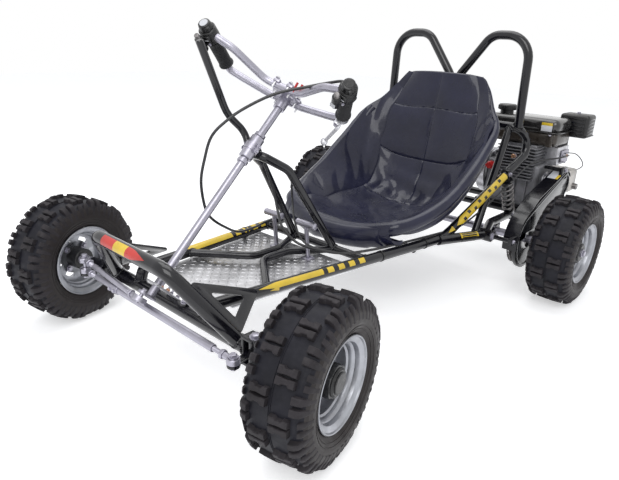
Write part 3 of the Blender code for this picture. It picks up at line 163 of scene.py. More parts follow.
def stage():
    """The sky, two lamps and a bright floor that the camera sees as white."""
    scene = bpy.context.scene
    scene.view_settings.view_transform = "Standard"
    world = bpy.data.worlds.new("studio")
    world.use_nodes = True
    tree = world.node_tree
    sky = tree.nodes["Background"]
    sky.inputs["Color"].default_value = (0.93, 0.95, 1.0, 1)
    sky.inputs["Strength"].default_value = 0.55
    out = seen_white(tree, sky.outputs[0], 1.0, world=True)
    tree.links.new(out, tree.nodes["World Output"].inputs["Surface"])
    scene.world = world
    area_light("key", (1.6, -2.6, 3.2), (0, -0.1, 0.25), 2.4, 62)
    area_light("top", (-0.6, 0.4, 3.4), (0, 0, 0.3), 2.6, 44)
    made = bpy.data.materials.new("studio_floor")
    made.use_nodes = True
    tree = made.node_tree
    shader = tree.nodes["Principled BSDF"]
    shader.inputs["Base Color"].default_value = (0.9, 0.9, 0.9, 1)
    shader.inputs["Roughness"].default_value = 0.9
    shader.inputs["Specular IOR Level"].default_value = 0.1
    out = seen_white(tree, shader.outputs[0], FLOOR_GLOW)
    tree.links.new(out, tree.nodes["Material Output"].inputs["Surface"])
    data = bpy.data.meshes.new("floor")
    data.from_pydata([(-9, -9, 0), (9, -9, 0), (9, 9, 0), (-9, 9, 0)], [], [(0, 1, 2, 3)])
    data.materials.append(made)
    floor = bpy.data.objects.new("studio_floor", data)
    scene.collection.objects.link(floor)


def camera():
    """The photograph's camera."""
    turn, rise, roll = (math.radians(a) for a in (CAMERA_AZIMUTH, CAMERA_ELEVATION, CAMERA_ROLL))
    back = Vector((math.sin(turn) * math.cos(rise), -math.cos(turn) * math.cos(rise), math.sin(rise)))
    right = Vector((math.cos(turn), math.sin(turn), 0))
    up = back.cross(right)
    across = right * math.cos(roll) + up * math.sin(roll)
    above = -right * math.sin(roll) + up * math.cos(roll)
    data = bpy.data.cameras.new("photo_view")
    data.lens = CAMERA_LENS
    data.sensor_width = 36.0
    data.sensor_fit = "HORIZONTAL"
    eye = bpy.data.objects.new("photo_view", data)
    eye.matrix_world = Matrix.Translation(CAMERA_PLACE) @ Matrix((across, above, back)).transposed().to_4x4()
    bpy.context.scene.collection.objects.link(eye)
    bpy.context.scene.camera = eye


# Materials

FINISHES = {}


def finish(name, colour, rough, metal=0.0, vary=0.25, patch=16.0, grain=0.15, grain_scale=600.0,
           coat=0.0, dust=0.0, dust_colour=(0.3, 0.29, 0.28), crease=0.0, sheen=0.0, shine=0.5):
    """A procedural finish: patches of tone, uneven gloss, fine grain, creases and settled dust."""
    if name in FINISHES:
        return FINISHES[name]
    made = bpy.data.materials.new(name)
    made.use_nodes = True
    tree = made.node_tree
    nodes, links = tree.nodes, tree.links
    shader = nodes["Principled BSDF"]
    shader.inputs["Metallic"].default_value = metal
    shader.inputs["Coat Weight"].default_value = coat
    shader.inputs["Coat Roughness"].default_value = 0.08
    shader.inputs["Specular IOR Level"].default_value = shine
    shader.inputs["Sheen Weight"].default_value = sheen
    place = nodes.new("ShaderNodeTexCoord").outputs["Object"]

    def cloud(scale, detail=5.0):
        made_noise = nodes.new("ShaderNodeTexNoise")
        made_noise.inputs["Scale"].default_value = scale
        made_noise.inputs["Detail"].default_value = detail
        links.new(place, made_noise.inputs["Vector"])
        return made_noise.outputs["Fac"]

    def blend(share, dark, light):
        mix = nodes.new("ShaderNodeMix")
        mix.data_type = "RGBA"
        links.new(share, mix.inputs[0])
        for socket, value in ((mix.inputs[6], dark), (mix.inputs[7], light)):
            if isinstance(value, tuple):
                socket.default_value = (*value, 1)
            else:
                links.new(value, socket)
        return mix.outputs[2]

    def span(value, low, high, to_low, to_high):
        band = nodes.new("ShaderNodeMapRange")
        for key, number in (("From Min", low), ("From Max", high), ("To Min", to_low), ("To Max", to_high)):
            band.inputs[key].default_value = number
        links.new(value, band.inputs["Value"])
        return band.outputs["Result"]

    patches = cloud(patch)
    dark = tuple(c * (1 - vary) for c in colour)
    light = tuple(min(1.0, c * (1 + vary)) for c in colour)
    tone = blend(span(patches, 0.35, 0.65, 0, 1), dark, light)
    if dust > 0:
        facing = nodes.new("ShaderNodeSeparateXYZ")
        geometry = nodes.new("ShaderNodeNewGeometry")
        links.new(geometry.outputs["Normal"], facing.inputs[0])
        settled = span(facing.outputs["Z"], -0.4, 1.0, 0.25, 1.0)
        fine = span(cloud(patch * 5, 8.0), 0.42, 0.72, 0.0, dust)
        share = nodes.new("ShaderNodeMath")
        share.operation = "MULTIPLY"
        links.new(settled, share.inputs[0])
        links.new(fine, share.inputs[1])
        tone = blend(share.outputs[0], tone, dust_colour)
    links.new(tone, shader.inputs["Base Color"])
    links.new(span(cloud(patch * 3), 0.3, 0.7, max(0.03, rough - 0.07), min(1.0, rough + 0.09)),
              shader.inputs["Roughness"])
    height = cloud(grain_scale, 3.0)
    bump = nodes.new("ShaderNodeBump")
    bump.inputs["Strength"].default_value = grain
    bump.inputs["Distance"].default_value = 0.0006
    links.new(height, bump.inputs["Height"])
    if crease > 0:
        folds = nodes.new("ShaderNodeBump")
        folds.inputs["Strength"].default_value = crease
        folds.inputs["Distance"].default_value = 0.004
        links.new(cloud(26.0, 2.0), folds.inputs["Height"])
        links.new(folds.outputs["Normal"], bump.inputs["Normal"])
    links.new(bump.outputs["Normal"], shader.inputs["Normal"])
    FINISHES[name] = made
    return made


def black_paint():
    return finish("gloss_black_paint", (0.004, 0.004, 0.007), 0.2, vary=0.3, grain=0.02, grain_scale=240,
                  coat=0.5, dust=0.03, dust_colour=(0.12, 0.115, 0.13), shine=0.3)


def zinc():
    return finish("bright_zinc", (0.4, 0.39, 0.45), 0.36, 0.9, vary=0.07, patch=24, grain=0.04)


def chrome():
    return finish("chrome", (0.78, 0.78, 0.8), 0.12, 1.0, vary=0.05, grain=0.04)


def rubber():
    return finish("tread_rubber_dusty", (0.024, 0.021, 0.024), 0.6, vary=0.25, patch=22, grain=0.3,
                  grain_scale=380, dust=0.28, dust_colour=(0.08, 0.073, 0.078), shine=0.25)


# Painted shade: a darker, bluer rubber for the casing between the lugs, with a little real dust.
def painted_shade_tread():
    return finish("tread_base_rubber", (0.009, 0.009, 0.014), 0.56, vary=0.25, patch=18, grain=0.2,
                  grain_scale=300, dust=0.16, dust_colour=(0.05, 0.048, 0.06), shine=0.25)


def sidewall():
    return finish("sidewall_rubber", (0.021, 0.017, 0.017), 0.5, vary=0.14, patch=12, grain=0.1,
                  grain_scale=500, dust=0.16, dust_colour=(0.075, 0.062, 0.056), shine=0.28)


def rim_paint():
    return finish("rim_silver", (0.36, 0.37, 0.4), 0.34, 0.8, vary=0.12, patch=24, grain=0.1,
                  dust=0.25, dust_colour=(0.28, 0.27, 0.27))


def black_plastic():
    return finish("black_plastic", (0.006, 0.006, 0.007), 0.34, vary=0.25, patch=30, grain=0.3,
                  grain_scale=900, dust=0.1)


def grip_rubber():
    return finish("grip_rubber", (0.018, 0.018, 0.02), 0.62, vary=0.2, grain=0.4)


def vinyl():
    return finish("seat_vinyl_grain", (0.009, 0.01, 0.03), 0.3, vary=0.18, patch=9, grain=0.22,
                  grain_scale=1400, crease=0.55, dust=0.06, dust_colour=(0.12, 0.12, 0.14),
                  sheen=0.03, coat=0.45, shine=0.2)


def thread():
    return finish("seam_thread", (0.0025, 0.0025, 0.004), 0.8, grain=0.6, grain_scale=2000, shine=0.05)


def cast_metal():
    return finish("cast_grey", (0.2, 0.2, 0.215), 0.48, 0.55, vary=0.25, patch=30, grain=0.5,
                  grain_scale=700, dust=0.2)


def alloy():
    return finish("bare_alloy", (0.6, 0.6, 0.63), 0.36, 0.9, vary=0.15, patch=40, grain=0.3)


def tread_plate():
    return finish("bright_tread_plate", (0.62, 0.62, 0.64), 0.33, 0.9, vary=0.22, patch=14, grain=0.2,
                  dust=0.3, dust_colour=(0.32, 0.31, 0.3))


def copper():
    return finish("copper_nut", (0.72, 0.4, 0.24), 0.32, 0.9, vary=0.15)


def red_plastic():
    return finish("red_plastic", (0.62, 0.02, 0.02), 0.36, vary=0.15)


def yellow_film():
    return finish("yellow_film", (0.8, 0.56, 0.035), 0.32, vary=0.1, patch=20, coat=0.3,
                  dust=0.12, dust_colour=(0.5, 0.42, 0.2))


def red_film():
    return finish("red_film", (0.6, 0.03, 0.02), 0.32, vary=0.12, coat=0.3)


def black_film():
    return finish("black_film", (0.012, 0.012, 0.014), 0.3, vary=0.2, coat=0.3)


# Pale film: blank labels, and a painted reflection on the far control's end disc.
def pale_film_and_reflection():
    return finish("pale_label", (0.66, 0.67, 0.7), 0.45, vary=0.06)


def tank_paint():
    return finish("tank_black", (0.014, 0.013, 0.013), 0.16, vary=0.3, grain=0.03, coat=0.6, dust=0.08)


def bronze_paint():
    return finish("tank_bronze", (0.05, 0.04, 0.032), 0.3, 0.4, vary=0.3, grain=0.06, coat=0.3, dust=0.12)


def dark_steel():
    return finish("oiled_steel", (0.22, 0.21, 0.21), 0.34, 0.9, vary=0.3, patch=60, grain=0.2)


def cable_sheath():
    return finish("cable_sheath", (0.014, 0.014, 0.016), 0.38, vary=0.2, grain=0.1, coat=0.2)


def heat_steel():
    return finish("muffler_steel", (0.46, 0.44, 0.42), 0.4, 0.85, vary=0.25, patch=18, grain=0.2, dust=0.15)


# Shape tools

class Shape:
    """A mesh that grows by closed forms, in the kart's coordinates."""

    def __init__(self):
        self.verts, self.faces, self.slots = [], [], []

    def add(self, verts, faces, slot=0, matrix=None):
        base = len(self.verts)
        if matrix is not None:
            verts = [matrix @ Vector(v) for v in verts]
        self.verts += [tuple(v) for v in verts]
        self.faces += [tuple(base + k for k in face) for face in faces]
        self.slots += [slot] * len(faces)

    def take(self, work, slot=0, matrix=None):
        """Add the form in a bmesh, and free it."""
        work.verts.index_update()
        faces = [tuple(v.index for v in face.verts) for face in work.faces]
        self.add([v.co.copy() for v in work.verts], faces, slot, matrix)
        work.free()


def place(name, shape, body, finishes, replaces=(), slot="black_paint", sharp=38):
    """Turn a shape into a named object that rides on a body."""
    data = bpy.data.meshes.new(name)
    data.from_pydata(shape.verts, [], shape.faces)
    for made in finishes:
        data.materials.append(made)
    data.polygons.foreach_set("material_index", shape.slots)
    work = bmesh.new()
    work.from_mesh(data)
    bmesh.ops.recalc_face_normals(work, faces=work.faces)
    work.to_mesh(data)
    work.free()
    data.transform(Matrix.Translation(SHIFT))
    data.shade_smooth()
    data.set_sharp_from_angle(angle=math.radians(sharp))
    piece = bpy.data.objects.new(name, data)
    bpy.context.scene.collection.objects.link(piece)
    if body is not None:
        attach(piece, body)
    if replaces:
        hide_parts(*replaces)
    return piece


def along(way, start=(0, 0, 0)):
    """A matrix whose Z runs along a direction from a point."""
    turn = Vector((0, 0, 1)).rotation_difference(Vector(way)).to_matrix().to_4x4()
    return Matrix.Translation(Vector(start)) @ turn


def rounded_path(points, bends, step=9.0):
    """A path whose inner corners are arcs of the given bend radii."""
    points = [Vector(p) for p in points]
    path = [points[0]]
    for index in range(1, len(points) - 1):
        before = (points[index - 1] - points[index]).normalized()
        after = (points[index + 1] - points[index]).normalized()
        turn = math.pi - before.angle(after)
        radius = bends[index - 1]
        if turn < math.radians(3) or radius <= 0:
            path.append(points[index])
            continue
        reach = radius * math.tan(turn / 2)
        centre = points[index] + (before + after).normalized() * (radius / math.cos(turn / 2))
        start = points[index] + before * reach - centre
        axis = after.cross(before)
        steps = max(3, round(math.degrees(turn) / step))
        for k in range(steps + 1):
            path.append(centre + Matrix.Rotation(turn * k / steps, 3, axis) @ start)
    path.append(points[-1])
    return path


def between(a, b, c, d, t):
    """A point of a Catmull-Rom curve, a share of the way from b to c."""
    return 0.5 * ((2 * b) + (c - a) * t + (2 * a - 5 * b + 4 * c - d) * t * t
                  + (3 * b - a - 3 * c + d) * t ** 3)


def smooth_path(points, parts=6):
    """A Catmull-Rom curve through given points."""
    points = [Vector(p) for p in points]
    ends = [2 * points[0] - points[1]] + points + [2 * points[-1] - points[-2]]
    path = []
    for k in range(1, len(ends) - 2):
        a, b, c, d = ends[k - 1:k + 3]
        for part in range(parts):
            path.append(between(a, b, c, d, part / parts))
    path.append(points[-1])
    return path


def sweep(shape, path, radius, slot=0, sides=18, closed=False, matrix=None):
    """A tube along a path, with a radius for all of it or for each point."""
    path = [Vector(p) for p in path]
    count = len(path)
    radii = radius if isinstance(radius, list) else [radius] * count
    ways = []
    for k in range(count):
        before = path[k - 1] if (k or closed) else path[k]
        after = path[(k + 1) % count] if (k < count - 1 or closed) else path[k]
        ways.append((after - before).normalized())
    across = ways[0].orthogonal().normalized()
    verts = []
    for k in range(count):
        across = (across - ways[k] * across.dot(ways[k])).normalized()
        up = ways[k].cross(across)
        for side in range(sides):
            angle = 2 * math.pi * side / sides
            verts.append(path[k] + (across * math.cos(angle) + up * math.sin(angle)) * radii[k])
    faces = []
    for k in range(count if closed else count - 1):
        low, high = k * sides, ((k + 1) % count) * sides
        for side in range(sides):
            after = (side + 1) % sides
            faces.append((low + side, low + after, high + after, high + side))
    if not closed:
        faces.append(tuple(range(sides))[::-1])
        faces.append(tuple((count - 1) * sides + side for side in range(sides)))
    shape.add(verts, faces, slot, matrix)


def lathe(shape, profile, matrix, slot=0, sides=32, loop=False):
    """A form turned about Z from (z, radius) points."""
    verts, rings = [], []
    for z, radius in profile:
        if radius < 1e-6:
            rings.append([len(verts)] * sides)
            verts.append((0, 0, z))
        else:
            rings.append(list(range(len(verts), len(verts) + sides)))
            verts += [(*polar(radius, 2 * math.pi * k / sides), z) for k in range(sides)]
    faces = []
    pairs = list(zip(rings, rings[1:])) + ([(rings[-1], rings[0])] if loop else [])
    for low, high in pairs:
        for k in range(sides):
            after = (k + 1) % sides
            face = list(dict.fromkeys((low[k], low[after], high[after], high[k])))
            if len(face) > 2:
                faces.append(tuple(face))
    shape.add(verts, faces, slot, matrix)


def at(x, y, z):
    """A matrix that moves a form by the given lengths."""
    return Matrix.Translation((x, y, z))


def polar(radius, angle):
    """A point on a circle round the origin."""
    return radius * math.cos(angle), radius * math.sin(angle)


def moved(matrix, point):
    """The point, carried by the matrix where there is one."""
    return Vector(point) if matrix is None else matrix @ Vector(point)


def barrel(shape, start, end, radius, slot=0, sides=24, edge=0.001, matrix=None):
    """A straight round bar with eased ends."""
    start, end = moved(matrix, start), moved(matrix, end)
    length = (end - start).length
    lathe(shape, [(0, 0), (0, radius - edge), (edge, radius), (length - edge, radius),
                  (length, radius - edge), (length, 0)], along(end - start, start), slot, sides)


def block(shape, low, high, bevel=0.0015, slot=0, matrix=None, steps=2):
    """A box with eased edges between two corners."""
    low, high = Vector(low), Vector(high)
    work = bmesh.new()
    bmesh.ops.create_cube(work, size=1.0)
    bmesh.ops.transform(work, verts=work.verts, matrix=Matrix.Translation((low + high) / 2)
                        @ Matrix.Diagonal((*(high - low), 1.0)))
    bmesh.ops.bevel(work, geom=work.edges, offset=bevel, segments=steps, affect="EDGES", profile=0.5)
    shape.take(work, slot, matrix)


def rounded_outline(corners, radius, steps=5):
    """A flat outline whose corners are arcs."""
    path = []
    for index, corner in enumerate(corners):
        here = Vector(corner)
        before = (Vector(corners[index - 1]) - here).normalized()
        after = (Vector(corners[(index + 1) % len(corners)]) - here).normalized()
        turn = math.pi - before.angle(after)
        centre = here + (before + after).normalized() * (radius / math.cos(turn / 2))
        start = here + before * radius * math.tan(turn / 2) - centre
        end = here + after * radius * math.tan(turn / 2) - centre
        base = math.atan2(start.y, start.x)
        swing = math.atan2(start.x * end.y - start.y * end.x, start.dot(end))
        path += [(centre.x + radius * math.cos(base + swing * k / steps),
                  centre.y + radius * math.sin(base + swing * k / steps)) for k in range(steps + 1)]
    return path


def circle(x, y, radius, sides=24):
    """A flat round outline."""
    spots = [polar(radius, 2 * math.pi * k / sides) for k in range(sides)]
    return [(x + a, y + b) for a, b in spots]


def arc(x, y, radius, start, stop, step):
    """Points of an arc at whole degrees, without the stop."""
    spots = [polar(radius, math.radians(degrees)) for degrees in range(start, stop, step)]
    return [(x + a, y + b) for a, b in spots]


def prism(shape, outlines, thickness, matrix, slot=0, edge=0.0006):
    """A flat plate with eased edges: the first outline is its rim, the others are holes."""
    data = bpy.data.curves.new("prism", "CURVE")
    data.dimensions = "2D"
    data.fill_mode = "BOTH"
    data.extrude = thickness / 2 - edge
    data.bevel_depth = edge
    data.bevel_resolution = 1
    data.offset = -edge
    for outline in outlines:
        spline = data.splines.new("POLY")
        spline.points.add(len(outline) - 1)
        for point, spot in zip(spline.points, outline):
            point.co = (spot[0], spot[1], 0.0, 1.0)
        spline.use_cyclic_u = True
    curve = bpy.data.objects.new("prism", data)
    bpy.context.scene.collection.objects.link(curve)
    bpy.context.view_layer.update()
    mesh = bpy.data.meshes.new_from_object(curve.evaluated_get(bpy.context.evaluated_depsgraph_get()))
    work = bmesh.new()
    work.from_mesh(mesh)
    bmesh.ops.remove_doubles(work, verts=work.verts, dist=1e-6)
    shape.take(work, slot, matrix)
    bpy.data.objects.remove(curve, do_unlink=True)
    bpy.data.meshes.remove(mesh)


def bolt(shape, spot, way, size=0.006, slot=0, height=None, matrix=None):
    """A hexagon head on a washer, standing on a surface."""
    if matrix is not None:
        spot, way = matrix @ Vector(spot), matrix.to_3x3() @ Vector(way)
    flat = size * 0.92
    tall = height or size * 0.75
    rise = size * 0.2
    base = along(way, spot)
    lathe(shape, [(0, 0), (0, flat * 1.35), (rise, flat * 1.35), (rise, 0)], base, slot, 20)
    foot, head = rise - 0.0004, rise + tall
    profile = [(foot, 0), (foot, flat), (rise + tall * 0.85, flat), (head, flat * 0.86), (head, 0)]
    lathe(shape, profile, base, slot, 6)


def threaded(shape, start, end, radius, slot=0, matrix=None):
    """A threaded stud: fine rings along a bar."""
    start, end = moved(matrix, start), moved(matrix, end)
    length = (end - start).length
    count = max(2, int(length / THREAD_PITCH))
    profile = [(0, 0), (0, radius * 0.8)]
    for k in range(count):
        profile += [(length * (k + 0.25) / count, radius * 0.86), (length * (k + 0.75) / count, radius)]
    profile += [(length, radius * 0.8), (length, 0)]
    lathe(shape, profile, along(end - start, start), slot, 14)


def weld(shape, end, way, radius, main_point, main_way, main_radius):
    """A rippled bead along the line where one tube meets another."""
    end, way = Vector(end), Vector(way).normalized()
    main_point, main_way = Vector(main_point), Vector(main_way).normalized()
    across = way.orthogonal().normalized()
    up = way.cross(across)
    flat = way - main_way * way.dot(main_way)
    if flat.length < 0.2:
        return
    path, sizes = [], []
    for k in range(48):
        angle = 2 * math.pi * k / 48
        start = end + (across * math.cos(angle) + up * math.sin(angle)) * radius - main_point
        level = start - main_way * start.dot(main_way)
        a, b, c = flat.dot(flat), 2 * level.dot(flat), level.dot(level) - main_radius ** 2
        root = math.sqrt(max(0.0, b * b - 4 * a * c))
        path.append(main_point + start + way * ((-b + root) / (2 * a)))
        sizes.append(WELD_BEAD * (1.0 + 0.22 * math.cos(k * math.pi)))
    sweep(shape, path, sizes, 0, 8, closed=True)


def weld_ends(shape, path, radius, main, main_radius, ends=(0, -1)):
    """Beads where a tube's ends meet the nearest part of another tube's path."""
    for end in ends:
        spot = Vector(path[end])
        inner = Vector(path[1] if end == 0 else path[-2])
        best = None
        for a, b in zip(main, main[1:]):
            a, b = Vector(a), Vector(b)
            share = max(0.0, min(1.0, (spot - a).dot(b - a) / (b - a).length_squared))
            near = a + (b - a) * share
            if best is None or (near - spot).length < best[0]:
                best = ((near - spot).length, near, b - a)
        weld(shape, spot, inner - spot, radius, best[1], best[2], main_radius)


def sided(points, side):
    """Points given for the left, on the given side."""
    return [(side * p[0], p[1], p[2]) for p in points]


def mirrored(points):
    """The same points on the other side of the kart."""
    return sided(points, -1)


# Paths of the frame, as in the CAD

def rail_path(side):
    """The main rail: back from the beam, up beside the seat and across behind it."""
    points = [(RAIL_FRONT[0], 0.0, BEAM_Z), RAIL_FRONT, RAIL_BEND, RAIL_REAR, CROSS,
              (0.0, CROSS[1], CROSS[2])]
    return rounded_path(sided(points, side), (0.02, 0.16, 0.045, 0.04))


def rail_at(y):
    """The left rail's X and Z where it passes a place."""
    share = (y - RAIL_FRONT[1]) / (RAIL_BEND[1] - RAIL_FRONT[1])
    return (RAIL_FRONT[0] + (RAIL_BEND[0] - RAIL_FRONT[0]) * share,
            RAIL_FRONT[2] + (RAIL_BEND[2] - RAIL_FRONT[2]) * share)


def beam_path():
    """The front beam, between the kingpin forks."""
    end = KINGPIN_X - KINGPIN_ROOM - 0.004
    return [Vector((-end, 0, BEAM_Z)), Vector((end, 0, BEAM_Z))]


def bumper_path():
    """The hoop that rises in front of the beam."""
    half = [(0.236, 0.0, BEAM_Z), (0.132, -0.097, 0.315)]
    return rounded_path(half + mirrored(half)[::-1], (0.042, 0.042))


def hoop_path(side):
    """The roll hoop over one side of the seat."""
    points = [(0.25, CROSS[1], CROSS[2]), (0.244, CROSS[1], 0.776), (0.116, CROSS[1], 0.776),
              (0.0143, CROSS[1], 0.64), (0.0143, CROSS[1], 0.503)]
    return rounded_path(sided(points, side), (0.075, 0.06, 0.05))


def inner_rail_path(side):
    """The bar that runs inwards over the floor plate."""
    x, z = rail_at(0.15)
    points = [(x, 0.15, z), (0.016, 0.262, 0.207), (0.016, 0.352, 0.207), (0.075, 0.47, 0.2)]
    return rounded_path(sided(points, side), (0.05, 0.05))


def cross_tube_path(y, drop=0.0):
    """A straight tube between the main rails."""
    x, z = rail_at(y)
    return [Vector((-x, y, z + drop)), Vector((x, y, z + drop))]


def column_point(reach, out=0.0):
    """A point on the column's line, which leans back at 45 degrees, or off it by a length."""
    lean = math.sqrt(0.5)
    return Vector((0, lean * (reach - out), COLUMN_CROSSING_Z + lean * (reach + out)))


def support_path():
    """The arch that carries the column's sleeve."""
    crown = column_point(0.335, -(SLEEVE_RADIUS + SUPPORT_RADIUS))
    half = [(0.075, 0.47, 0.206), (0.048, 0.315, 0.438), (0.02, crown.y, crown.z)]
    return rounded_path(half + mirrored(half)[::-1], (0.05, 0.02, 0.02, 0.05))


def lower_rail_path(side):
    """The rail from the main rail's bend to the swing arm's pivot."""
    return [Vector(p) for p in sided([(RAIL_BEND[0], RAIL_BEND[1] - 0.03, RAIL_BEND[2]), PIVOT], side)]


def swing_arm_path():
    """The swing arm: back from both pivots and across behind the engine."""
    half = [PIVOT, (SWING_X, 1.05, SWING_Z), (SWING_X, SWING_REAR_Y, SWING_Z)]
    return rounded_path(half + mirrored(half)[::-1], (0.06, 0.04, 0.04, 0.06))


# Frame

def tube_piece(name, node, path, radius, welds, sides=20):
    """A painted tube: welds are the path, radius and ends for each tube that it meets."""
    shape = Shape()
    sweep(shape, path, radius, 0, sides)
    for main, main_radius, ends in welds:
        weld_ends(shape, path, radius, main, main_radius, ends)
    place(name, shape, "frame", [black_paint()], (node,))


def frame_tubes():
    """Rails, hoops, braces, cross tubes and the bumper, with a weld where each one meets another."""
    first, last, both = (0,), (-1,), (0, -1)
    front_tube = cross_tube_path(FRONT_TUBE_Y)
    for side, word in SIDES:
        rail = (rail_path(side), RAIL_RADIUS)
        tube_piece(word + "_main_rail_tube", word + "_main_rail", rail_path(side), RAIL_RADIUS,
                   [(beam_path(), BEAM_RADIUS, first)], 24)
        tube_piece(word + "_roll_hoop_tube", word + "_roll_hoop", hoop_path(side), RAIL_RADIUS,
                   [(*rail, both)], 24)
        tube_piece(word + "_inner_rail_tube", word + "_inner_rail", inner_rail_path(side), INNER_RADIUS,
                   [(*rail, first), (front_tube, SUPPORT_RADIUS, last)])
        tube_piece(word + "_lower_rail_tube", word + "_lower_rail", lower_rail_path(side), LOWER_RADIUS,
                   [(*rail, first)], 24)
        foot = Vector((side * (PIVOT[0] - 0.018), PIVOT[1] - 0.035, PIVOT[2] + 0.003))
        brace = [foot, Vector((side * (CROSS[0] - 0.03), CROSS[1], CROSS[2]))]
        tube_piece(word + "_diagonal_brace_tube", word + "_diagonal_brace", brace, BRACE_RADIUS,
                   [(lower_rail_path(side), LOWER_RADIUS, first), (*rail, last)])
    tube_piece("front_bumper_tube", "front_bumper", bumper_path(), BUMPER_RADIUS,
               [(beam_path(), BEAM_RADIUS, both)], 24)
    rails = [(rail_path(1), RAIL_RADIUS, last), (rail_path(-1), RAIL_RADIUS, first)]
    tube_piece("front_cross_tube_round", "front_cross_tube", front_tube, SUPPORT_RADIUS, rails)
    drop = SEAT_UNDERSIDE_Z - TOUCH - INNER_RADIUS - rail_at(SEAT_TUBE_Y)[1]
    tube_piece("seat_cross_tube_round", "seat_cross_tube", cross_tube_path(SEAT_TUBE_Y, drop), INNER_RADIUS,
               rails)
    tube_piece("steering_support_tube", "steering_support", support_path(), SUPPORT_RADIUS,
               [(front_tube, SUPPORT_RADIUS, both)])


def front_beam():
    """The round beam with the forks that hold the kingpins."""
    shape = Shape()
    sweep(shape, beam_path(), BEAM_RADIUS, 0, 28)
    near = KINGPIN_X - KINGPIN_ROOM
    inner = near - 0.007
    tall = 0.025 + 0.0005 + 0.003
    for side in (1, -1):
        for end in (1, -1):
            outline = ([(side * inner, -0.016), (side * KINGPIN_X, -0.016)]
                       + [(side * (KINGPIN_X + 0.014 * math.cos(a)), 0.016 * math.sin(a))
                          for a in (math.radians(d) for d in range(-75, 76, 15))]
                       + [(side * KINGPIN_X, 0.016), (side * inner, 0.016)])
            prism(shape, (outline, circle(side * KINGPIN_X, 0, 0.0066)), 0.006,
                  at(0, 0, BEAM_Z + end * tall))
        low, high = sorted((side * near, side * inner))
        block(shape, (low, -0.0158, BEAM_Z - tall), (high, 0.0158, BEAM_Z + tall), 0.001)
        weld(shape, (side * (near - 0.02), 0, BEAM_Z), (side, 0, 0), BEAM_RADIUS,
             (side * (near - 0.0075), 0, BEAM_Z), (0, 1, 0), 0.0005)
    place("front_axle_beam_round", shape, "frame", [black_paint()], ("front_axle_beam",))


def gusset_plates():
    """A triangular plate with a window at each front corner."""
    for side, word in SIDES:
        top = Vector((side * 0.152, -0.066, 0.29))
        rear = Vector((side * 0.166, 0.112, 0.222))
        foot = Vector((side * 0.236, 0.000, 0.184))
        run = (foot - top).normalized()
        normal = run.cross(rear - top).normalized()
        across = normal.cross(run)
        matrix = Matrix((run, across, normal)).transposed().to_4x4()
        matrix.translation = top
        flat = [((p - top).dot(run), (p - top).dot(across)) for p in (top, foot, rear)]
        middle = (sum(p[0] for p in flat) / 3, sum(p[1] for p in flat) / 3)
        hole = [(middle[0] + 0.5 * (p[0] - middle[0]), middle[1] + 0.5 * (p[1] - middle[1])) for p in flat]
        shape = Shape()
        prism(shape, (rounded_outline(flat, 0.008), rounded_outline(hole, 0.005)), 0.005, matrix)
        place(word + "_gusset", shape, "frame", [black_paint()], (word + "_gusset_plate",), sharp=30)


def floor_plate():
    """The foot plate with its raised tread pattern."""
    front_y, rear_y = 0.06, 0.44
    rear_x, front_x = rail_at(rear_y)[0], rail_at(front_y)[0]
    shape = Shape()
    outline = [(-rear_x, rear_y), (rear_x, rear_y), (front_x, front_y), (-front_x, front_y)]
    prism(shape, (outline,), 0.004, at(0, 0, FLOOR_TOP - 0.002), 0, 0.0004)
    pitch = 0.0155
    long, wide, tall = 0.0068, 0.0021, 0.0011
    verts = [(-long, 0, 0), (0, -wide, 0), (long, 0, 0), (0, wide, 0),
             (-long * 0.6, 0, tall), (0, -wide * 0.5, tall), (long * 0.6, 0, tall), (0, wide * 0.5, tall)]
    faces = [(0, 1, 5, 4), (1, 2, 6, 5), (2, 3, 7, 6), (3, 0, 4, 7), (4, 5, 6, 7), (3, 2, 1, 0)]
    for row in range(int(0.36 / pitch)):
        y = 0.074 + row * pitch
        room = front_x + (rear_x - front_x) * (y - front_y) / 0.38 - 0.012
        for column in range(-int(room / pitch), int(room / pitch) + 1):
            turn = math.radians(45 if (row + column) % 2 else -45)
            matrix = at(column * pitch, y, FLOOR_TOP - 0.0002) @ Matrix.Rotation(turn, 4, "Z")
            shape.add(verts, faces, 0, matrix)
    place("floor_plate_treaded", shape, "frame", [tread_plate()], ("floor_plate",), slot="tread_plate",
          sharp=25)


def column_fittings():
    """The column's sleeve with its clamp collar, then the bracket and the beam's studs."""
    shape = Shape()
    start, end = column_point(0.305), column_point(0.365)
    matrix = along(end - start, start)
    lathe(shape, [(0, 0.0101), (0, 0.0155), (0.001, 0.0165), (0.021, 0.0165), (0.0215, 0.0182),
                  (0.0385, 0.0182), (0.039, 0.0165), (0.059, 0.0165), (0.06, 0.0155), (0.06, 0.0101)],
                  matrix, 0, 32, loop=True)
    for side in (1, -1):
        for reach in (0.024, 0.036):
            barrel(shape, (side * 0.0185, 0, reach), (side * 0.027, 0, reach), 0.0035, 0, 14, matrix=matrix)
            bolt(shape, (side * 0.019, -0.004, reach), (side, 0, 0), 0.0055, matrix=matrix)
    block(shape, (-0.023, -0.006, 0.018), (0.023, 0.006, 0.042), 0.002, 0, matrix)
    place("column_sleeve_clamp", shape, "frame", [zinc()], ("column_sleeve",), slot="bright_steel")
    bracket_plate()
    beam_studs()


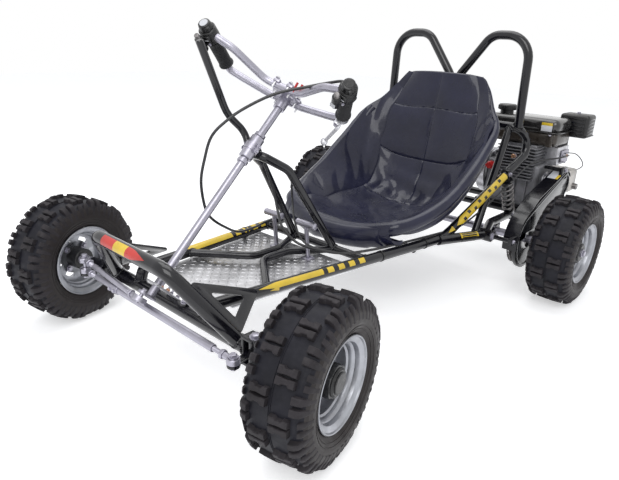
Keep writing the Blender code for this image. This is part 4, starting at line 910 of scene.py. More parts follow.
def bracket_plate():
    """The plate at the column's lower bearing, with four studs."""
    shape = Shape()
    turn = along(column_point(1) - column_point(0), column_point(-0.05))
    outline = rounded_outline([(-0.02, -0.02), (0.02, -0.02), (0.02, 0.066), (-0.02, 0.066)], 0.006)
    prism(shape, (outline, circle(0, 0, 0.0102), circle(0, 0.04, 0.005)), 0.005, turn)
    for y, reach, nut in ((0.022, 0.02, 2), (0.056, 0.014, 1)):
        for x in (-0.012, 0.012):
            spot, tip = turn @ Vector((x, y, 0.0025)), turn @ Vector((x, y, reach))
            threaded(shape, spot, tip, 0.003, 1)
            bolt(shape, spot, tip - spot, 0.0052, nut)
    place("column_bracket_studs", shape, "frame", [alloy(), zinc(), copper()], ("column_bracket",),
          slot="bright_steel", sharp=30)


def beam_studs():
    """Three bolts that stand on the front beam."""
    shape = Shape()
    for x, tall in ((0.05, 0.026), (-0.062, 0.016), (0.11, 0.012)):
        spot = Vector((x, 0, BEAM_Z + BEAM_RADIUS - 0.001))
        barrel(shape, spot, spot + Vector((0, 0, 0.006)), 0.01, 1, 24)
        bolt(shape, spot + Vector((0, 0, 0.006)), (0, 0, 1), 0.0075, 0)
        threaded(shape, spot + Vector((0, 0, 0.01)), spot + Vector((0, 0, tall)), 0.004, 0)
    place("beam_studs", shape, "frame", [zinc(), black_paint()], slot="bright_steel")


def pedals_and_lever():
    """Ribbed foot pegs, and the tall hand lever beside the column."""
    top = FLOOR_TOP + TOUCH
    for side, word in SIDES:
        shape = Shape()
        x = side * 0.06
        stem = [(x, 0.386, top + 0.002), (x, 0.378, top + 0.06), (x, 0.372, top + 0.104)]
        sweep(shape, stem, 0.0058, 0, 16)
        ribs = [(0.004 + 0.0045 * k, 0.009 - 0.0012 * (k % 2)) for k in range(13)]
        ends = [(0.063, 0.009), (0.064, 0.0075), (0.064, 0)]
        lathe(shape, [(0, 0), (0, 0.0075), (0.001, 0.009)] + ribs + ends,
              along((1, 0, 0), (x - 0.032, 0.373, top + 0.1)), 0, 20)
        block(shape, (x - 0.014, 0.372, top), (x + 0.014, 0.398, top + 0.005), 0.001)
        for out in (0.008, -0.008):
            bolt(shape, (x + out, 0.391, top + 0.005), (0, 0, 1), 0.0045)
        place(word + "_foot_peg_ribbed", shape, "frame", [zinc()], (word + "_foot_peg",), slot="bright_steel")
    shape = Shape()
    foot = column_point(0.335, -0.004) + Vector((-0.024, 0.01, -0.01))
    path = rounded_path([foot, (-0.05, 0.262, 0.52), (-0.062, 0.214, 0.566), (-0.062, 0.14, 0.727)],
                        (0.04, 0.1))
    sweep(shape, path, 0.009, 0, 20)
    tip = Vector(path[-1])
    way = (tip - Vector(path[-2])).normalized()
    lathe(shape, [(-0.004, 0.009), (0.0, 0.0078), (0.002, 0.006), (0.002, 0)], along(way, tip), 0, 24)
    place("hand_lever_tube", shape, "frame", [black_paint()], ("hand_lever",))


# Steering

def column_frame():
    """The turned column's own axes: Z runs up the column and X along the yoke."""
    way = column_point(1) - column_point(0)
    return along(way, column_point(0)) @ Matrix.Rotation(2 * STEERED, 4, "Z")


def yoke_grip(side, share):
    """A place along the hand bar, in the axes of the column."""
    low, high = Vector((side * 0.16, -0.02, LEVEL)), Vector((side * 0.182, -0.142, LEVEL))
    return low + (high - low) * share


def yoke_path():
    """The closed loop of the yoke."""
    half = [(0.046, 0.01, LEVEL), (0.122, -0.008, LEVEL), yoke_grip(1, 0), yoke_grip(1, 1),
            (0.12, -0.118, LEVEL), (0.046, -0.044, LEVEL)]
    start = Vector((0, 0.01, LEVEL))
    loop = [start] + half + mirrored(half)[::-1] + [start]
    bends = (0.05, 0.06, 0.014, 0.014, 0.06, 0.05)
    return rounded_path(loop, bends + bends[::-1])[:-1]


def column_shaft(matrix):
    """The column with its collars and the pitman arm at its foot."""
    shape = Shape()
    lathe(shape, [(COLUMN_BOTTOM, 0), (COLUMN_BOTTOM, 0.0088), (COLUMN_BOTTOM + 0.0008, 0.0095),
                  (COLUMN_TOP, 0.0095), (COLUMN_TOP, 0)], matrix, 0, 28)
    level = COLUMN_BOTTOM + 0.001
    outline = arc(0, 0, 0.016, -20, 201, 20) + arc(0, -PITMAN_ARM, 0.012, 190, 351, 20)
    prism(shape, (outline,), 0.006, matrix @ at(0, 0, level + 0.003))
    barrel(shape, (0, -PITMAN_ARM, level - 0.022), (0, -PITMAN_ARM, level + 0.002), 0.0044, 0, 18, 0.0006,
           matrix)
    bolt(shape, (0, -PITMAN_ARM, level + 0.006), UP, matrix=matrix)
    for reach in (0.295, 0.372):
        lathe(shape, [(reach - 0.004, 0.0094), (reach - 0.004, 0.0135), (reach + 0.004, 0.0135),
                      (reach + 0.004, 0.0094)], matrix, 0, 28, loop=True)
    place("steering_column_shaft", shape, "steering", [zinc()], ("steering_column",), slot="bright_steel")


def yoke(matrix):
    """The butterfly loop with its hub plate, clamps, bolts and red ties."""
    shape = Shape()
    sweep(shape, yoke_path(), YOKE_RADIUS, 0, 20, closed=True, matrix=matrix)
    outline = rounded_outline([(-0.04, 0.018), (0.04, 0.018), (0.024, -0.052), (-0.024, -0.052)], 0.008)
    prism(shape, (outline, circle(0.02, -0.018, 0.006), circle(-0.02, -0.018, 0.006)), 0.006,
          matrix @ at(0, 0, LEVEL), 0, 0.001)
    lathe(shape, [(COLUMN_TOP - 0.024, 0.0098), (COLUMN_TOP - 0.024, 0.0145), (COLUMN_TOP, 0.0145),
                  (LEVEL, 0.0145), (LEVEL + 0.004, 0.012), (LEVEL + 0.004, 0)], matrix, 0, 28)
    for x, y in ((-0.03, 0.01), (-0.018, -0.044), (0.03, 0.01), (0.018, -0.044)):
        block(shape, (x - 0.009, y - 0.013, LEVEL + 0.001), (x + 0.009, y + 0.013, LEVEL + 0.0125),
              0.004, 0, matrix)
        for out in (0.0115, -0.0115):
            bolt(shape, (x, y + out, LEVEL + 0.0115), UP, 0.0045, 1, matrix=matrix)
            threaded(shape, (x, y + out, LEVEL - 0.014), (x, y + out, LEVEL), 0.0025, 1, matrix)
    for x in (0.034, 0.047):
        tie = [(x, -0.05, LEVEL - 0.004), (x, -0.058, LEVEL + 0.006), (x + 0.002, -0.064, LEVEL + 0.016)]
        sweep(shape, [matrix @ Vector(p) for p in tie], 0.0028, 2, 8)
    place("steering_yoke_round", shape, "steering", [zinc(), chrome(), red_plastic()], ("steering_yoke",),
          slot="bright_steel")


def steering():
    """Column, yoke and ribbed grips."""
    matrix = column_frame()
    column_shaft(matrix)
    yoke(matrix)
    pitch = 0.0046
    for side, word in SIDES:
        low, high = yoke_grip(side, 0.16), yoke_grip(side, 0.79)
        length = (high - low).length
        profile = [(0, 0.0093), (0, 0.0165), (0.0015, 0.0185), (0.004, 0.0185), (0.0055, 0.015)]
        for k in range(int((length - 0.016) / pitch)):
            z = 0.0062 + k * pitch
            profile += [(z, 0.0148), (z + 0.0008, 0.0163), (z + 0.0028, 0.0163), (z + 0.0036, 0.0148)]
        profile += [(length - 0.006, 0.015), (length - 0.004, 0.0175), (length, 0.0175), (length, 0.0093)]
        shape = Shape()
        lathe(shape, profile, matrix @ along(high - low, low), 0, 36, loop=True)
        place(word + "_grip_ribbed", shape, "steering", [grip_rubber()], (word + "_grip",),
              slot="black_plastic")


def hand_controls():
    """Twin clamp housings on top of each hand bar, with caps, screws and cable ends."""
    matrix = column_frame()
    for side, word in SIDES:
        low, high = yoke_grip(side, 0.81), yoke_grip(side, 1.1)
        turn = matrix @ along((high - low).normalized(), low)
        length = (high - low).length
        shape = Shape()
        lathe(shape, [(0, 0.0093), (0, 0.018), (0.0015, 0.0205), (0.013, 0.021), (0.0138, 0.02),
                      (0.0148, 0.021), (length - 0.002, 0.0205), (length, 0.018), (length, 0)], turn, 0, 36)
        lathe(shape, [(length - 0.001, 0), (length - 0.001, 0.0165), (length + 0.006, 0.016),
                      (length + 0.0145, 0.014), (length + 0.0155, 0.012), (length + 0.0155, 0)], turn, 0, 28)
        # The near end disc stays black and the far one takes the pale finish: painted reflection.
        disc = 0 if side > 0 else 3
        lathe(shape, [(length + 0.015, 0), (length + 0.015, 0.0105), (length + 0.0165, 0.0098),
                      (length + 0.0165, 0)], turn, disc, 28)
        reservoir = turn @ at(-0.004, -0.034, 0.0)
        lathe(shape, [(0.002, 0), (0.002, 0.0085), (0.004, 0.0095), (length + 0.002, 0.0095),
                      (length + 0.004, 0.007), (length + 0.004, 0)], reservoir, 0, 24)
        lathe(shape, [(length + 0.003, 0), (length + 0.003, 0.0068), (length + 0.012, 0.006),
                      (length + 0.014, 0.004), (length + 0.014, 0)], reservoir, 4, 20)
        block(shape, (-0.0075, -0.01, 0.006), (0.0055, -0.0088, 0.02), 0.0003, 3, reservoir)
        block(shape, (-0.012, -0.024, 0.003), (0.012, -0.012, length - 0.006), 0.004, 0, turn, 3)
        block(shape, (-0.023, -0.008, 0.005), (-0.014, 0.008, 0.021), 0.003, 0, turn, 3)
        block(shape, (0.015, -0.007, 0.006), (0.0225, 0.007, 0.016), 0.003, 0, turn, 3)
        for x in (-0.008, 0.008):
            bolt(shape, (x, -0.024, 0.01), (0, -1, 0), 0.0034, 2, matrix=turn)
        lathe(shape, [(0, 0), (0, 0.0045), (0.004, 0.0052), (0.01, 0.0045), (0.012, 0)],
              turn @ at(0.012, -0.01, length + 0.002), 0, 16)
        block(shape, (-0.0098, -0.0248, 0.02), (0.0098, -0.0238, length - 0.014), 0.0003, 3, turn)
        place(word + "_control_housing", shape, "steering",
              [black_plastic(), alloy(), zinc(), pale_film_and_reflection(), dark_steel()], (word + "_control",),
              slot="black_plastic")
    brake_lever(matrix)


def brake_lever(matrix):
    """A clamp at the start of the left hand bar, with a curved blade that ends in a ball."""
    shape = Shape()
    low, high = yoke_grip(1, 0.01), yoke_grip(1, 0.14)
    turn = matrix @ along((high - low).normalized(), low)
    length = (high - low).length
    lathe(shape, [(0, 0.0093), (0, 0.0145), (0.001, 0.0155), (length - 0.001, 0.0155), (length, 0.0145),
                  (length, 0.0093)], turn, 0, 28, loop=True)
    block(shape, (-0.008, -0.026, 0.002), (0.008, -0.008, length - 0.002), 0.003, 0, turn)
    bolt(shape, (0.0, -0.0255, length / 2), (0, -1, 0), 0.0045, 1, matrix=turn)
    knee = low + Vector((0.003, -0.002, -0.026))
    tip = knee + Vector((-0.028, 0.048, -0.024))
    blade = rounded_path([low + Vector((0, -0.006, -0.01)), knee, tip], (0.012,))
    taper = [0.0058 - 0.0014 * k / (len(blade) - 1) for k in range(len(blade))]
    sweep(shape, blade, taper, 0, 16, matrix=matrix)
    ball = [(-0.009 * math.cos(a), 0.009 * math.sin(a)) for a in (math.pi * k / 10 for k in range(11))]
    lathe(shape, ball, matrix @ Matrix.Translation(tip), 0, 20)
    place("brake_lever_blade", shape, "steering", [alloy(), zinc()], ("brake_lever",), slot="bright_steel")


def rod_end(shape, centre, way, axis, bore=0.0052, slot=0):
    """A ball joint's eye with its ball, and the shank and lock nut towards its rod."""
    centre, way = Vector(centre), Vector(way).normalized()
    turn = along(axis, centre)
    lathe(shape, [(-0.0055, 0.0098), (-0.0062, 0.0105), (-0.0062, 0.0125), (-0.005, 0.0135), (0.005, 0.0135),
                  (0.0062, 0.0125), (0.0062, 0.0105), (0.0055, 0.0098)], turn, slot, 28, loop=True)
    lathe(shape, [(-0.007, bore), (-0.007, bore + 0.0016), (-0.0045, 0.0088), (0, 0.01), (0.0045, 0.0088),
                  (0.007, bore + 0.0016), (0.007, bore)], turn, slot, 24, loop=True)
    barrel(shape, centre + way * 0.012, centre + way * 0.026, 0.0072, slot, 20)
    barrel(shape, centre + way * 0.026, centre + way * 0.034, 0.01, slot, 6, 0.0008)


def knuckle_pin(side, z):
    """The pin at the end of a steered knuckle's arm."""
    swing = Vector((KNUCKLE_ARM * math.sin(STEERED), -KNUCKLE_ARM * math.cos(STEERED), 0))
    return Vector((side * KINGPIN_X, 0, z)) + swing


def tie_rod():
    """A two-part rod between the knuckles, with a clamp and ball joints."""
    shape = Shape()
    x_way = Vector(LEFT)
    left, right = knuckle_pin(1, TIE_ROD_Z), knuckle_pin(-1, TIE_ROD_Z)
    rod_end(shape, left, (-1, 0, 0), UP)
    rod_end(shape, right, LEFT, UP)
    threaded(shape, left - 0.03 * x_way, left - 0.062 * x_way, 0.0052)
    threaded(shape, right + 0.03 * x_way, right + 0.062 * x_way, 0.0052)
    middle = right + 0.15 * x_way
    barrel(shape, left - 0.058 * x_way, middle, 0.0085)
    barrel(shape, right + 0.152 * x_way, right + 0.056 * x_way, 0.0072)
    barrel(shape, middle - 0.022 * x_way, middle + 0.012 * x_way, 0.0108, 0, 28)
    for reach in (-0.014, 0.004):
        bolt(shape, middle + Vector((reach, -0.0105, 0)), (0, -1, 0.3), 0.0042)
    place("tie_rod_ends", shape, "tie_rod", [zinc()], ("tie_rod",), slot="bright_steel")


def drag_link():
    """The link from the pitman pin to the right knuckle, with its larger eye at the pitman arm."""
    shape = Shape()
    pin = knuckle_pin(-1, DRAG_LINK_Z)
    eye = column_frame() @ Vector((0, 0.0025 - PITMAN_ARM, COLUMN_BOTTOM - 0.0115))
    way = (eye - pin).normalized()
    rod_end(shape, pin, way, UP)
    lathe(shape, [(-0.006, 0.0118), (-0.0065, 0.0125), (-0.0065, 0.015), (-0.005, 0.0163), (0.005, 0.0163),
                  (0.0065, 0.015), (0.0065, 0.0125), (0.006, 0.0118)],
          along(column_point(1) - column_point(0), eye), 0, 30, loop=True)
    threaded(shape, pin + way * 0.032, pin + way * 0.06, 0.0048)
    barrel(shape, pin + way * 0.056, eye - way * 0.044, 0.0065)
    barrel(shape, eye - way * 0.046, eye - way * 0.0155, 0.0056, 0, 20)
    barrel(shape, eye - way * 0.04, eye - way * 0.033, 0.0092, 0, 6, 0.0008)
    place("drag_link_ends", shape, "drag_link", [zinc()], ("drag_link",), slot="bright_steel")


def knuckles():
    """Kingpin sleeves and bolts, stub axles, and steering arms with their pins."""
    drop = BEAM_Z - WHEEL_Z
    outside = 0.025 + 0.006 + 0.001
    arm_z = TIE_ROD_Z - WHEEL_Z - 0.0065 - 0.006 - TOUCH
    outline = [(-0.0075, 0.0), (-0.0075, -KNUCKLE_ARM + 0.012)] + arc(0, -KNUCKLE_ARM, 0.013, 140, 401, 20)
    outline += [(0.0075, -KNUCKLE_ARM + 0.012), (0.0075, 0.0)]
    down = (0, 0, -1)
    for side, word in SIDES:
        matrix = at(side * KINGPIN_X, 0, WHEEL_Z) @ Matrix.Rotation(STEERED, 4, "Z")
        shape = Shape()
        lathe(shape, [(drop - 0.025, 0.0068), (drop - 0.025, 0.014), (drop - 0.024, 0.015),
                      (drop + 0.024, 0.015), (drop + 0.025, 0.014), (drop + 0.025, 0.0068)],
              matrix, 0, 28, loop=True)
        barrel(shape, (0, 0, drop - outside - 0.004), (0, 0, drop + outside + 0.002), 0.0058, 1, 18,
               matrix=matrix)
        bolt(shape, (0, 0, drop + outside), UP, 0.0108, 1, 0.0062, matrix)
        bolt(shape, (0, 0, drop - outside), down, 0.0108, 1, 0.0062, matrix)
        barrel(shape, (0, 0, 0), (side * (FRONT_REACH + 0.05), 0, 0), 0.0125, 1, 28, matrix=matrix)
        barrel(shape, (0, 0, 0), (side * 0.06, 0, 0), 0.015, matrix=matrix)
        prism(shape, (outline,), 0.006, matrix @ at(0, 0, arm_z + 0.003))
        pin_z = (TIE_ROD_Z if side > 0 else DRAG_LINK_Z) - WHEEL_Z + 0.0065
        barrel(shape, (0, -KNUCKLE_ARM, arm_z + 0.001), (0, -KNUCKLE_ARM, pin_z + 0.003), 0.0045, 1, 16,
               0.0005, matrix)
        bolt(shape, (0, -KNUCKLE_ARM, pin_z + 0.0008), UP, 0.0078, 1, matrix=matrix)
        bolt(shape, (0, -KNUCKLE_ARM, arm_z), down, 0.0072, 1, matrix=matrix)
        node = word + "_knuckle"
        place(node + "_forged", shape, node, [black_paint(), zinc()], (node,))


# Wheels

CASING = [(0.0, 0.1548), (0.018, 0.1546), (0.034, 0.1538), (0.045, 0.1522), (0.053, 0.149), (0.059, 0.144),
          (0.063, 0.136), (0.0652, 0.126), (0.065, 0.117), (0.0625, 0.1085), (0.059, 0.102),
          (0.056, 0.098), (0.0545, 0.0955), (0.053, 0.093)]


def casing_radius(x):
    """The casing's radius at a place across the tread."""
    x = abs(x)
    for (x0, r0), (x1, r1) in zip(CASING, CASING[1:]):
        if x0 <= x <= x1:
            return r0 + (r1 - r0) * (x - x0) / (x1 - x0)
    return CASING[7][1]


def lug(shape, stations, angle, matrix):
    """A tread bar lofted across the tyre: stations are (x, start, end, height)."""
    sunk = -0.0025
    first, last = stations[0], stations[-1]
    lean = 0.0012 if last[0] > first[0] else -0.0012
    rows = ([(first[0] - lean, first[1], first[2], -0.002, 0)] + [(*s, 1) for s in stations]
            + [(last[0] + lean, last[1], last[2], -0.002, 0)])
    verts = []
    for x, start, end, height, full in rows:
        for along_tread, rise in ((start - 0.0016, sunk), (start, height - 0.0012), (start + 0.0012, height),
                                  (end - 0.0012, height), (end, height - 0.0012), (end + 0.0016, sunk)):
            radius = min(casing_radius(x) + (rise if full else sunk), WHEEL_Z)
            turn = angle + along_tread / 0.158
            verts.append((x, radius * math.sin(turn), -radius * math.cos(turn)))
    wide, count = 6, len(rows)
    faces = [(k * wide + j, k * wide + (j + 1) % wide, (k + 1) * wide + (j + 1) % wide, (k + 1) * wide + j)
             for k in range(count - 1) for j in range(wide)]
    faces.append(tuple(range(wide)))
    faces.append(tuple((count - 1) * wide + j for j in range(wide))[::-1])
    shape.add(verts, faces, 0, matrix)


CENTRE_BAR = ((0.0, 0.0152), (0.26, 0.0152), (0.36, 0.0118), (0.64, 0.0118), (0.74, 0.0152), (1.0, 0.0152))
SHOULDER_LUG = ((0.04, 0, 0.0098), (0.049, 0, 0.0108), (0.056, 0, 0.0104), (0.061, 0.001, 0.006),
                (0.0645, 0.003, 0.0016))
SIDE_LUG = ((0.0535, 0, 0.0064), (0.059, 0, 0.006), (0.063, 0.001, 0.0034), (0.065, 0.002, 0.0012))


def tyre(shape, matrix):
    """A knobby tyre: casing, staggered pairs of tread bars, shoulder lugs and sidewall ribs."""
    profile = [(-x, r) for x, r in CASING[::-1]] + CASING[1:]
    steps, wide = 96, len(profile)
    verts = []
    for k in range(steps):
        angle = 2 * math.pi * k / steps
        verts += [(x, r * math.sin(angle), -r * math.cos(angle)) for x, r in profile]
    for k in range(steps):
        after = (k + 1) % steps
        for j in range(wide - 1):
            face = (k * wide + j, k * wide + j + 1, after * wide + j + 1, after * wide + j)
            # The casing between the lugs takes the darker rubber in slot 2: painted shade.
            shape.add([verts[i] for i in face], [(0, 1, 2, 3)], 2 if 8 <= j <= wide - 10 else 1, matrix)
    pitch = 2 * math.pi / TREAD_UNITS
    for unit in range(TREAD_UNITS):
        for side in (1, -1):
            angle = unit * pitch + (0.5 * pitch if side < 0 else 0.0)
            for sign in (1, -1):
                stations = []
                for share, out in CENTRE_BAR:
                    near = 0.003 if 0.3 < share < 0.7 else 0.0022
                    low, high = sorted((sign * near, sign * out))
                    stations.append((side * (0.0048 + 0.0345 * share), low, high, 0.0096))
                lug(shape, stations, angle, matrix)
            for form, length, shifts, turn in ((SHOULDER_LUG, 0.0125, (-0.0165, 0.003), angle + 0.5 * pitch),
                                               (SIDE_LUG, 0.011, (-0.0145, 0.0035), angle)):
                for start in shifts:
                    stations = [(side * x, start + ease, start + length - ease, height)
                                for x, ease, height in form]
                    lug(shape, stations, turn, matrix)
    turned = matrix @ ABOUT_X
    # The centre rings also take the painted shade of slot 2.
    for x in (-0.0016, 0.0016):
        lathe(shape, [(x - 0.0006, 0.154), (x - 0.0005, 0.156), (x + 0.0005, 0.156), (x + 0.0006, 0.154)],
              turned, 2, 96, loop=True)
    for x, r in ((0.06, 0.104), (0.0632, 0.111)):
        for side in (1, -1):
            lathe(shape, [(side * (x - 0.0014), r - 0.0012), (side * (x + 0.001), r - 0.0006),
                          (side * (x + 0.0012), r + 0.0006), (side * (x - 0.001), r + 0.0012)],
                  turned, 1, 96, loop=True)


RIM_OUTSIDE = [(0.0545, 0.0928), (0.057, 0.0925), (0.058, 0.091), (0.0572, 0.0893), (0.054, 0.0878),
               (0.0508, 0.0802), (0.049, 0.0776), (0.0455, 0.0765), (0.04, 0.0756), (0.0374, 0.0718),
               (0.034, 0.0702), (0.029, 0.0692), (0.0262, 0.0655), (0.02, 0.0645)]


def rim_web(shape, side, matrix):
    """The pressed web with its six slots."""
    steps = 96
    rings = ((0.027, -0.004), (0.033, -0.004), (0.041, -0.007), (0.044, -0.008), (0.055, -0.01),
             (0.059, -0.0105), (0.0655, -0.0105))
    work = bmesh.new()
    grid = []
    for k in range(steps):
        angle = 2 * math.pi * k / steps
        grid.append([work.verts.new((side * z, r * math.sin(angle), -r * math.cos(angle))) for r, z in rings])
    for k in range(steps):
        after = (k + 1) % steps
        for j in range(len(rings) - 1):
            if j != 3 or not 4 <= k % 16 <= 11:
                work.faces.new((grid[k][j], grid[k][j + 1], grid[after][j + 1], grid[after][j]))
    bmesh.ops.recalc_face_normals(work, faces=work.faces)
    bmesh.ops.solidify(work, geom=work.faces, thickness=0.003)
    shape.take(work, 0, matrix)


def rim(shape, side, matrix, driven):
    """A stepped steel rim with a slotted web, four bolts, a valve and its hub."""
    flip = matrix @ ABOUT_X
    out = (side, 0, 0)
    inner = [(-z, r) for z, r in RIM_OUTSIDE[::-1]]
    back = [(-0.0525, 0.09), (-0.0485, 0.08), (-0.04, 0.0785), (0.04, 0.0785), (0.0485, 0.08),
            (0.0525, 0.09)]
    lathe(shape, RIM_OUTSIDE + inner + back, flip, 0, 72, loop=True)
    rim_web(shape, side, matrix)
    profile = [(-0.042, 0.0132), (-0.042, 0.0265), (-0.0405, 0.028), (0.044, 0.028), (0.0475, 0.025),
               (0.0475, 0.0132)]
    lathe(shape, [(side * z, r) for z, r in profile], flip, 2, 40, loop=True)
    lobes = []
    for k in range(72):
        angle = 2 * math.pi * k / 72
        lobes.append(polar(0.0322 + 0.0016 * math.tanh(4 * math.cos(6 * angle)), angle))
    prism(shape, (lobes, circle(0, 0, 0.026, 40)), 0.046, flip @ at(0, 0, side * 0.0195), 2, 0.0022)
    if driven:
        bolt(shape, (side * 0.0475, 0, 0), out, 0.0105, 1, matrix=matrix)
    else:
        cap = ((0.046, 0), (0.046, 0.0215), (0.049, 0.0215), (0.0505, 0.0195), (0.0505, 0))
        lathe(shape, [(side * z, r) for z, r in cap], flip, 2, 40)
    for k in range(4):
        z, y = polar(0.0365, math.radians(45 + 90 * k))
        bolt(shape, (side * -0.0055, y, z), out, 0.0068, 1, matrix=matrix)
        bolt(shape, (side * -0.0105, y, z), (-side, 0, 0), 0.0068, 1, matrix=matrix)
    valve = Vector((side * -0.01, 0.0, 0.0605))
    barrel(shape, valve, valve + Vector((side * 0.022, 0, 0.002)), 0.0038, 2, 14, matrix=matrix)
    neck, tip = valve + Vector((side * 0.02, 0, 0.002)), valve + Vector((side * 0.029, 0, 0.0025))
    barrel(shape, neck, tip, 0.0046, 2, 14, matrix=matrix)


def wheels():
    """Four tyres and rims: the front pair is steered, the rear pair rides on the axle."""
    for side, word in SIDES:
        front = (at(side * KINGPIN_X, 0, WHEEL_Z) @ Matrix.Rotation(STEERED, 4, "Z")
                 @ at(side * FRONT_REACH, 0, 0))
        rear = at(side * REAR_REACH, WHEELBASE, WHEEL_Z)
        for end, matrix, body in (("front", front, word + "_front_wheel"), ("rear", rear, "rear_axle")):
            shape = Shape()
            tyre(shape, matrix)
            place(word + "_" + end + "_tyre_knobs", shape, body, [rubber(), sidewall(), painted_shade_tread()],
                  (word + "_" + end + "_tyre",), slot="tread_rubber", sharp=34)
            shape = Shape()
            rim(shape, side, matrix, end == "rear")
            place(word + "_" + end + "_rim_stepped", shape, body,
                  [rim_paint(), zinc(), black_plastic()], (word + "_" + end + "_rim",),
                  slot="rim_paint", sharp=32)


# Seat

SPINE = [(0.548, 0.246), (0.575, 0.236), (0.64, 0.218), (0.76, 0.218), (0.88, 0.218), (0.96, 0.232),
         (1.000, 0.29), (1.026, 0.372), (1.052, 0.48), (1.072, 0.57), (1.086, 0.648)]
EDGE = [(0.196, 0.583, 0.276), (0.222, 0.64, 0.288), (0.244, 0.72, 0.316), (0.252, 0.79, 0.35),
        (0.256, 0.85, 0.392), (0.256, 0.91, 0.436), (0.254, 0.96, 0.478), (0.246, 1.005, 0.516),
        (0.205, 1.05, 0.556), (0.174, 1.085, 0.6), (0.138, 1.103, 0.642)]
SIDE_SEAM = [(0.0, 0.86), (1.4, 0.78), (2.5, 0.63), (4.3, 0.57), (5.5, 0.62), (7.0, 0.7), (8.0, 0.8),
             (10.0, 0.86)]
CROSS_SEAMS = (4.4, 6.8, 8.5)


def cross_seam(row, u, seam):
    """A cross seam's row, which lies lower at the sides so that it looks straight."""
    return row + 0.1 - 0.42 * (u / seam) ** 2


def curve_at(rows, v):
    """A smooth value along evenly spaced rows (Catmull-Rom)."""
    v = max(0.0, min(len(rows) - 1.0001, v))
    k = int(v)
    t = v - k
    a, b, c, d = [Vector(rows[max(0, min(len(rows) - 1, k + shift))]) for shift in (-1, 0, 1, 2)]
    return between(a, b, c, d, t)


def seat_point(u, v):
    """A place on the sling: u runs from side to side and v from the front edge to the top."""
    spine, edge = curve_at(SPINE, v), curve_at(EDGE, v)
    rise = abs(u) ** 2.4
    return Vector((edge.x * u, spine.x + (edge.y - spine.x) * rise, spine.y + (edge.z - spine.y) * rise))


def seam_at(v):
    """How far out the side seams lie."""
    for (v0, s0), (v1, s1) in zip(SIDE_SEAM, SIDE_SEAM[1:]):
        if v0 <= v <= v1:
            share = (v - v0) / (v1 - v0)
            return s0 + (s1 - s0) * (3 * share ** 2 - 2 * share ** 3)
    return SIDE_SEAM[-1][1]


def seat_normal(u, v):
    """The direction straight out of the sling's upper face."""
    step = 0.01
    across = seat_point(u + step, v) - seat_point(u - step, v)
    back = seat_point(u, min(10, v + step)) - seat_point(u, max(0, v - step))
    return across.cross(back).normalized()


def clustered(count):
    """Steps from 0 to 1 that crowd at both ends."""
    inner = [0.5 - 0.5 * math.cos(math.pi * k / count) for k in range(count + 1)]
    return [0.0, 0.012, 0.03] + [x for x in inner[1:-1] if 0.045 < x < 0.955] + [0.97, 0.988]


def seat_columns(v):
    """Places across the sling, crowded at its seams and edges."""
    seam = seam_at(v)
    keys = (-1.0, -seam, 0.0, seam, 1.0)
    columns = []
    for low, high in zip(keys, keys[1:]):
        columns += [low + (high - low) * share for share in clustered(22)]
    return columns + [1.0]


def wing_tuck(u, v):
    """The left padded wing ends in a rounded fold in front of the back panel."""
    if u < 0:
        return 0.0
    reach = math.hypot((u - 0.95) / 0.21, (v - 6.6) / 0.95)
    start = max(0.0, min(1.0, (v - 5.4) / 0.9))
    inside = 0.5 - 0.5 * math.tanh((reach - 1) / 0.06)
    groove = math.exp(-((reach - 1.06) / 0.07) ** 2)
    return start * (0.0065 * inside - 0.0035 * groove)


def crease_depth(u, v, p):
    """How far the cover stands up or sinks: seams, puffed panels and folds."""
    seam = seam_at(v)
    wide = max(0.08, abs(curve_at(EDGE, v).x))
    depth = 0.0
    gaps = [abs(u) * wide, abs(abs(u) - seam) * wide]
    if abs(u) < seam:
        gaps += [abs(v - cross_seam(s, u, seam)) * 0.085 for s in CROSS_SEAMS]
    if v < 4.4:
        gaps = gaps[1:]
    near = min(gaps)
    depth -= 0.004 * math.exp(-(near / 0.0032) ** 2)
    depth += 0.0042 * (1 - math.exp(-(near / 0.02) ** 2))
    folds = noise.noise(Vector((p.x * 16, p.y * 5 + p.z * 9, 3.0)))
    soft = noise.noise(Vector((p.x * 7, p.y * 7, p.z * 7)) + Vector((5, 1, 2)))
    wing = max(0.0, abs(u) - seam) / (1.0 - seam)
    depth += 0.003 * soft
    fan = 1 - 2 * abs(math.sin((p.y * 0.8 - p.z * 0.5) * 62 + 2.6 * soft + abs(u) * 3)) ** 0.8
    depth -= 0.0078 * wing * (1.15 - wing) * fan * (0.35 + 0.9 * max(0.0, folds + 0.35))
    pan = math.exp(-((v - 4.9) / 0.7) ** 2) * math.exp(-((abs(u) - 0.35) / 0.3) ** 2)
    depth += 0.0055 * pan * math.sin(p.x * 120 + 4 * folds)
    lower = math.exp(-((v - 5.9) / 0.45) ** 2) * max(0.0, 1 - (abs(u) / seam) ** 4)
    depth += 0.004 * lower * math.sin(p.z * 95 + p.x * 12 + 3 * soft)
    return depth + wing_tuck(u, v)


def hem_path():
    """The padded hem that wraps the sling's tubes: its centre line and its radii."""
    edge = [(-1.0, 10.0 * k / 70) for k in range(71)] + [(-1 + 2 * k / 24, 10.0) for k in range(1, 24)]
    edge += [(1.0, 10.0 - 10.0 * k / 70) for k in range(71)] + [(1 - 2 * k / 24, 0.0) for k in range(1, 24)]
    path, sizes = [], []
    for u, v in edge:
        radius = 0.0075 + 0.0135 * max(0.0, 1 - v / 8.5) ** 0.7
        inside = min(0.985, abs(u)) * (1 if u > 0 else -1)
        path.append(seat_point(inside, v) - seat_normal(inside, max(0.02, v)) * radius * 0.45)
        sizes.append(radius + 0.0008 * noise.noise(Vector((u * 4, v * 3, 2.0))))
    for _ in range(3):
        count = len(path)
        path = [(path[k - 1] + 2 * path[k] + path[(k + 1) % count]) / 4 for k in range(count)]
    return path, sizes


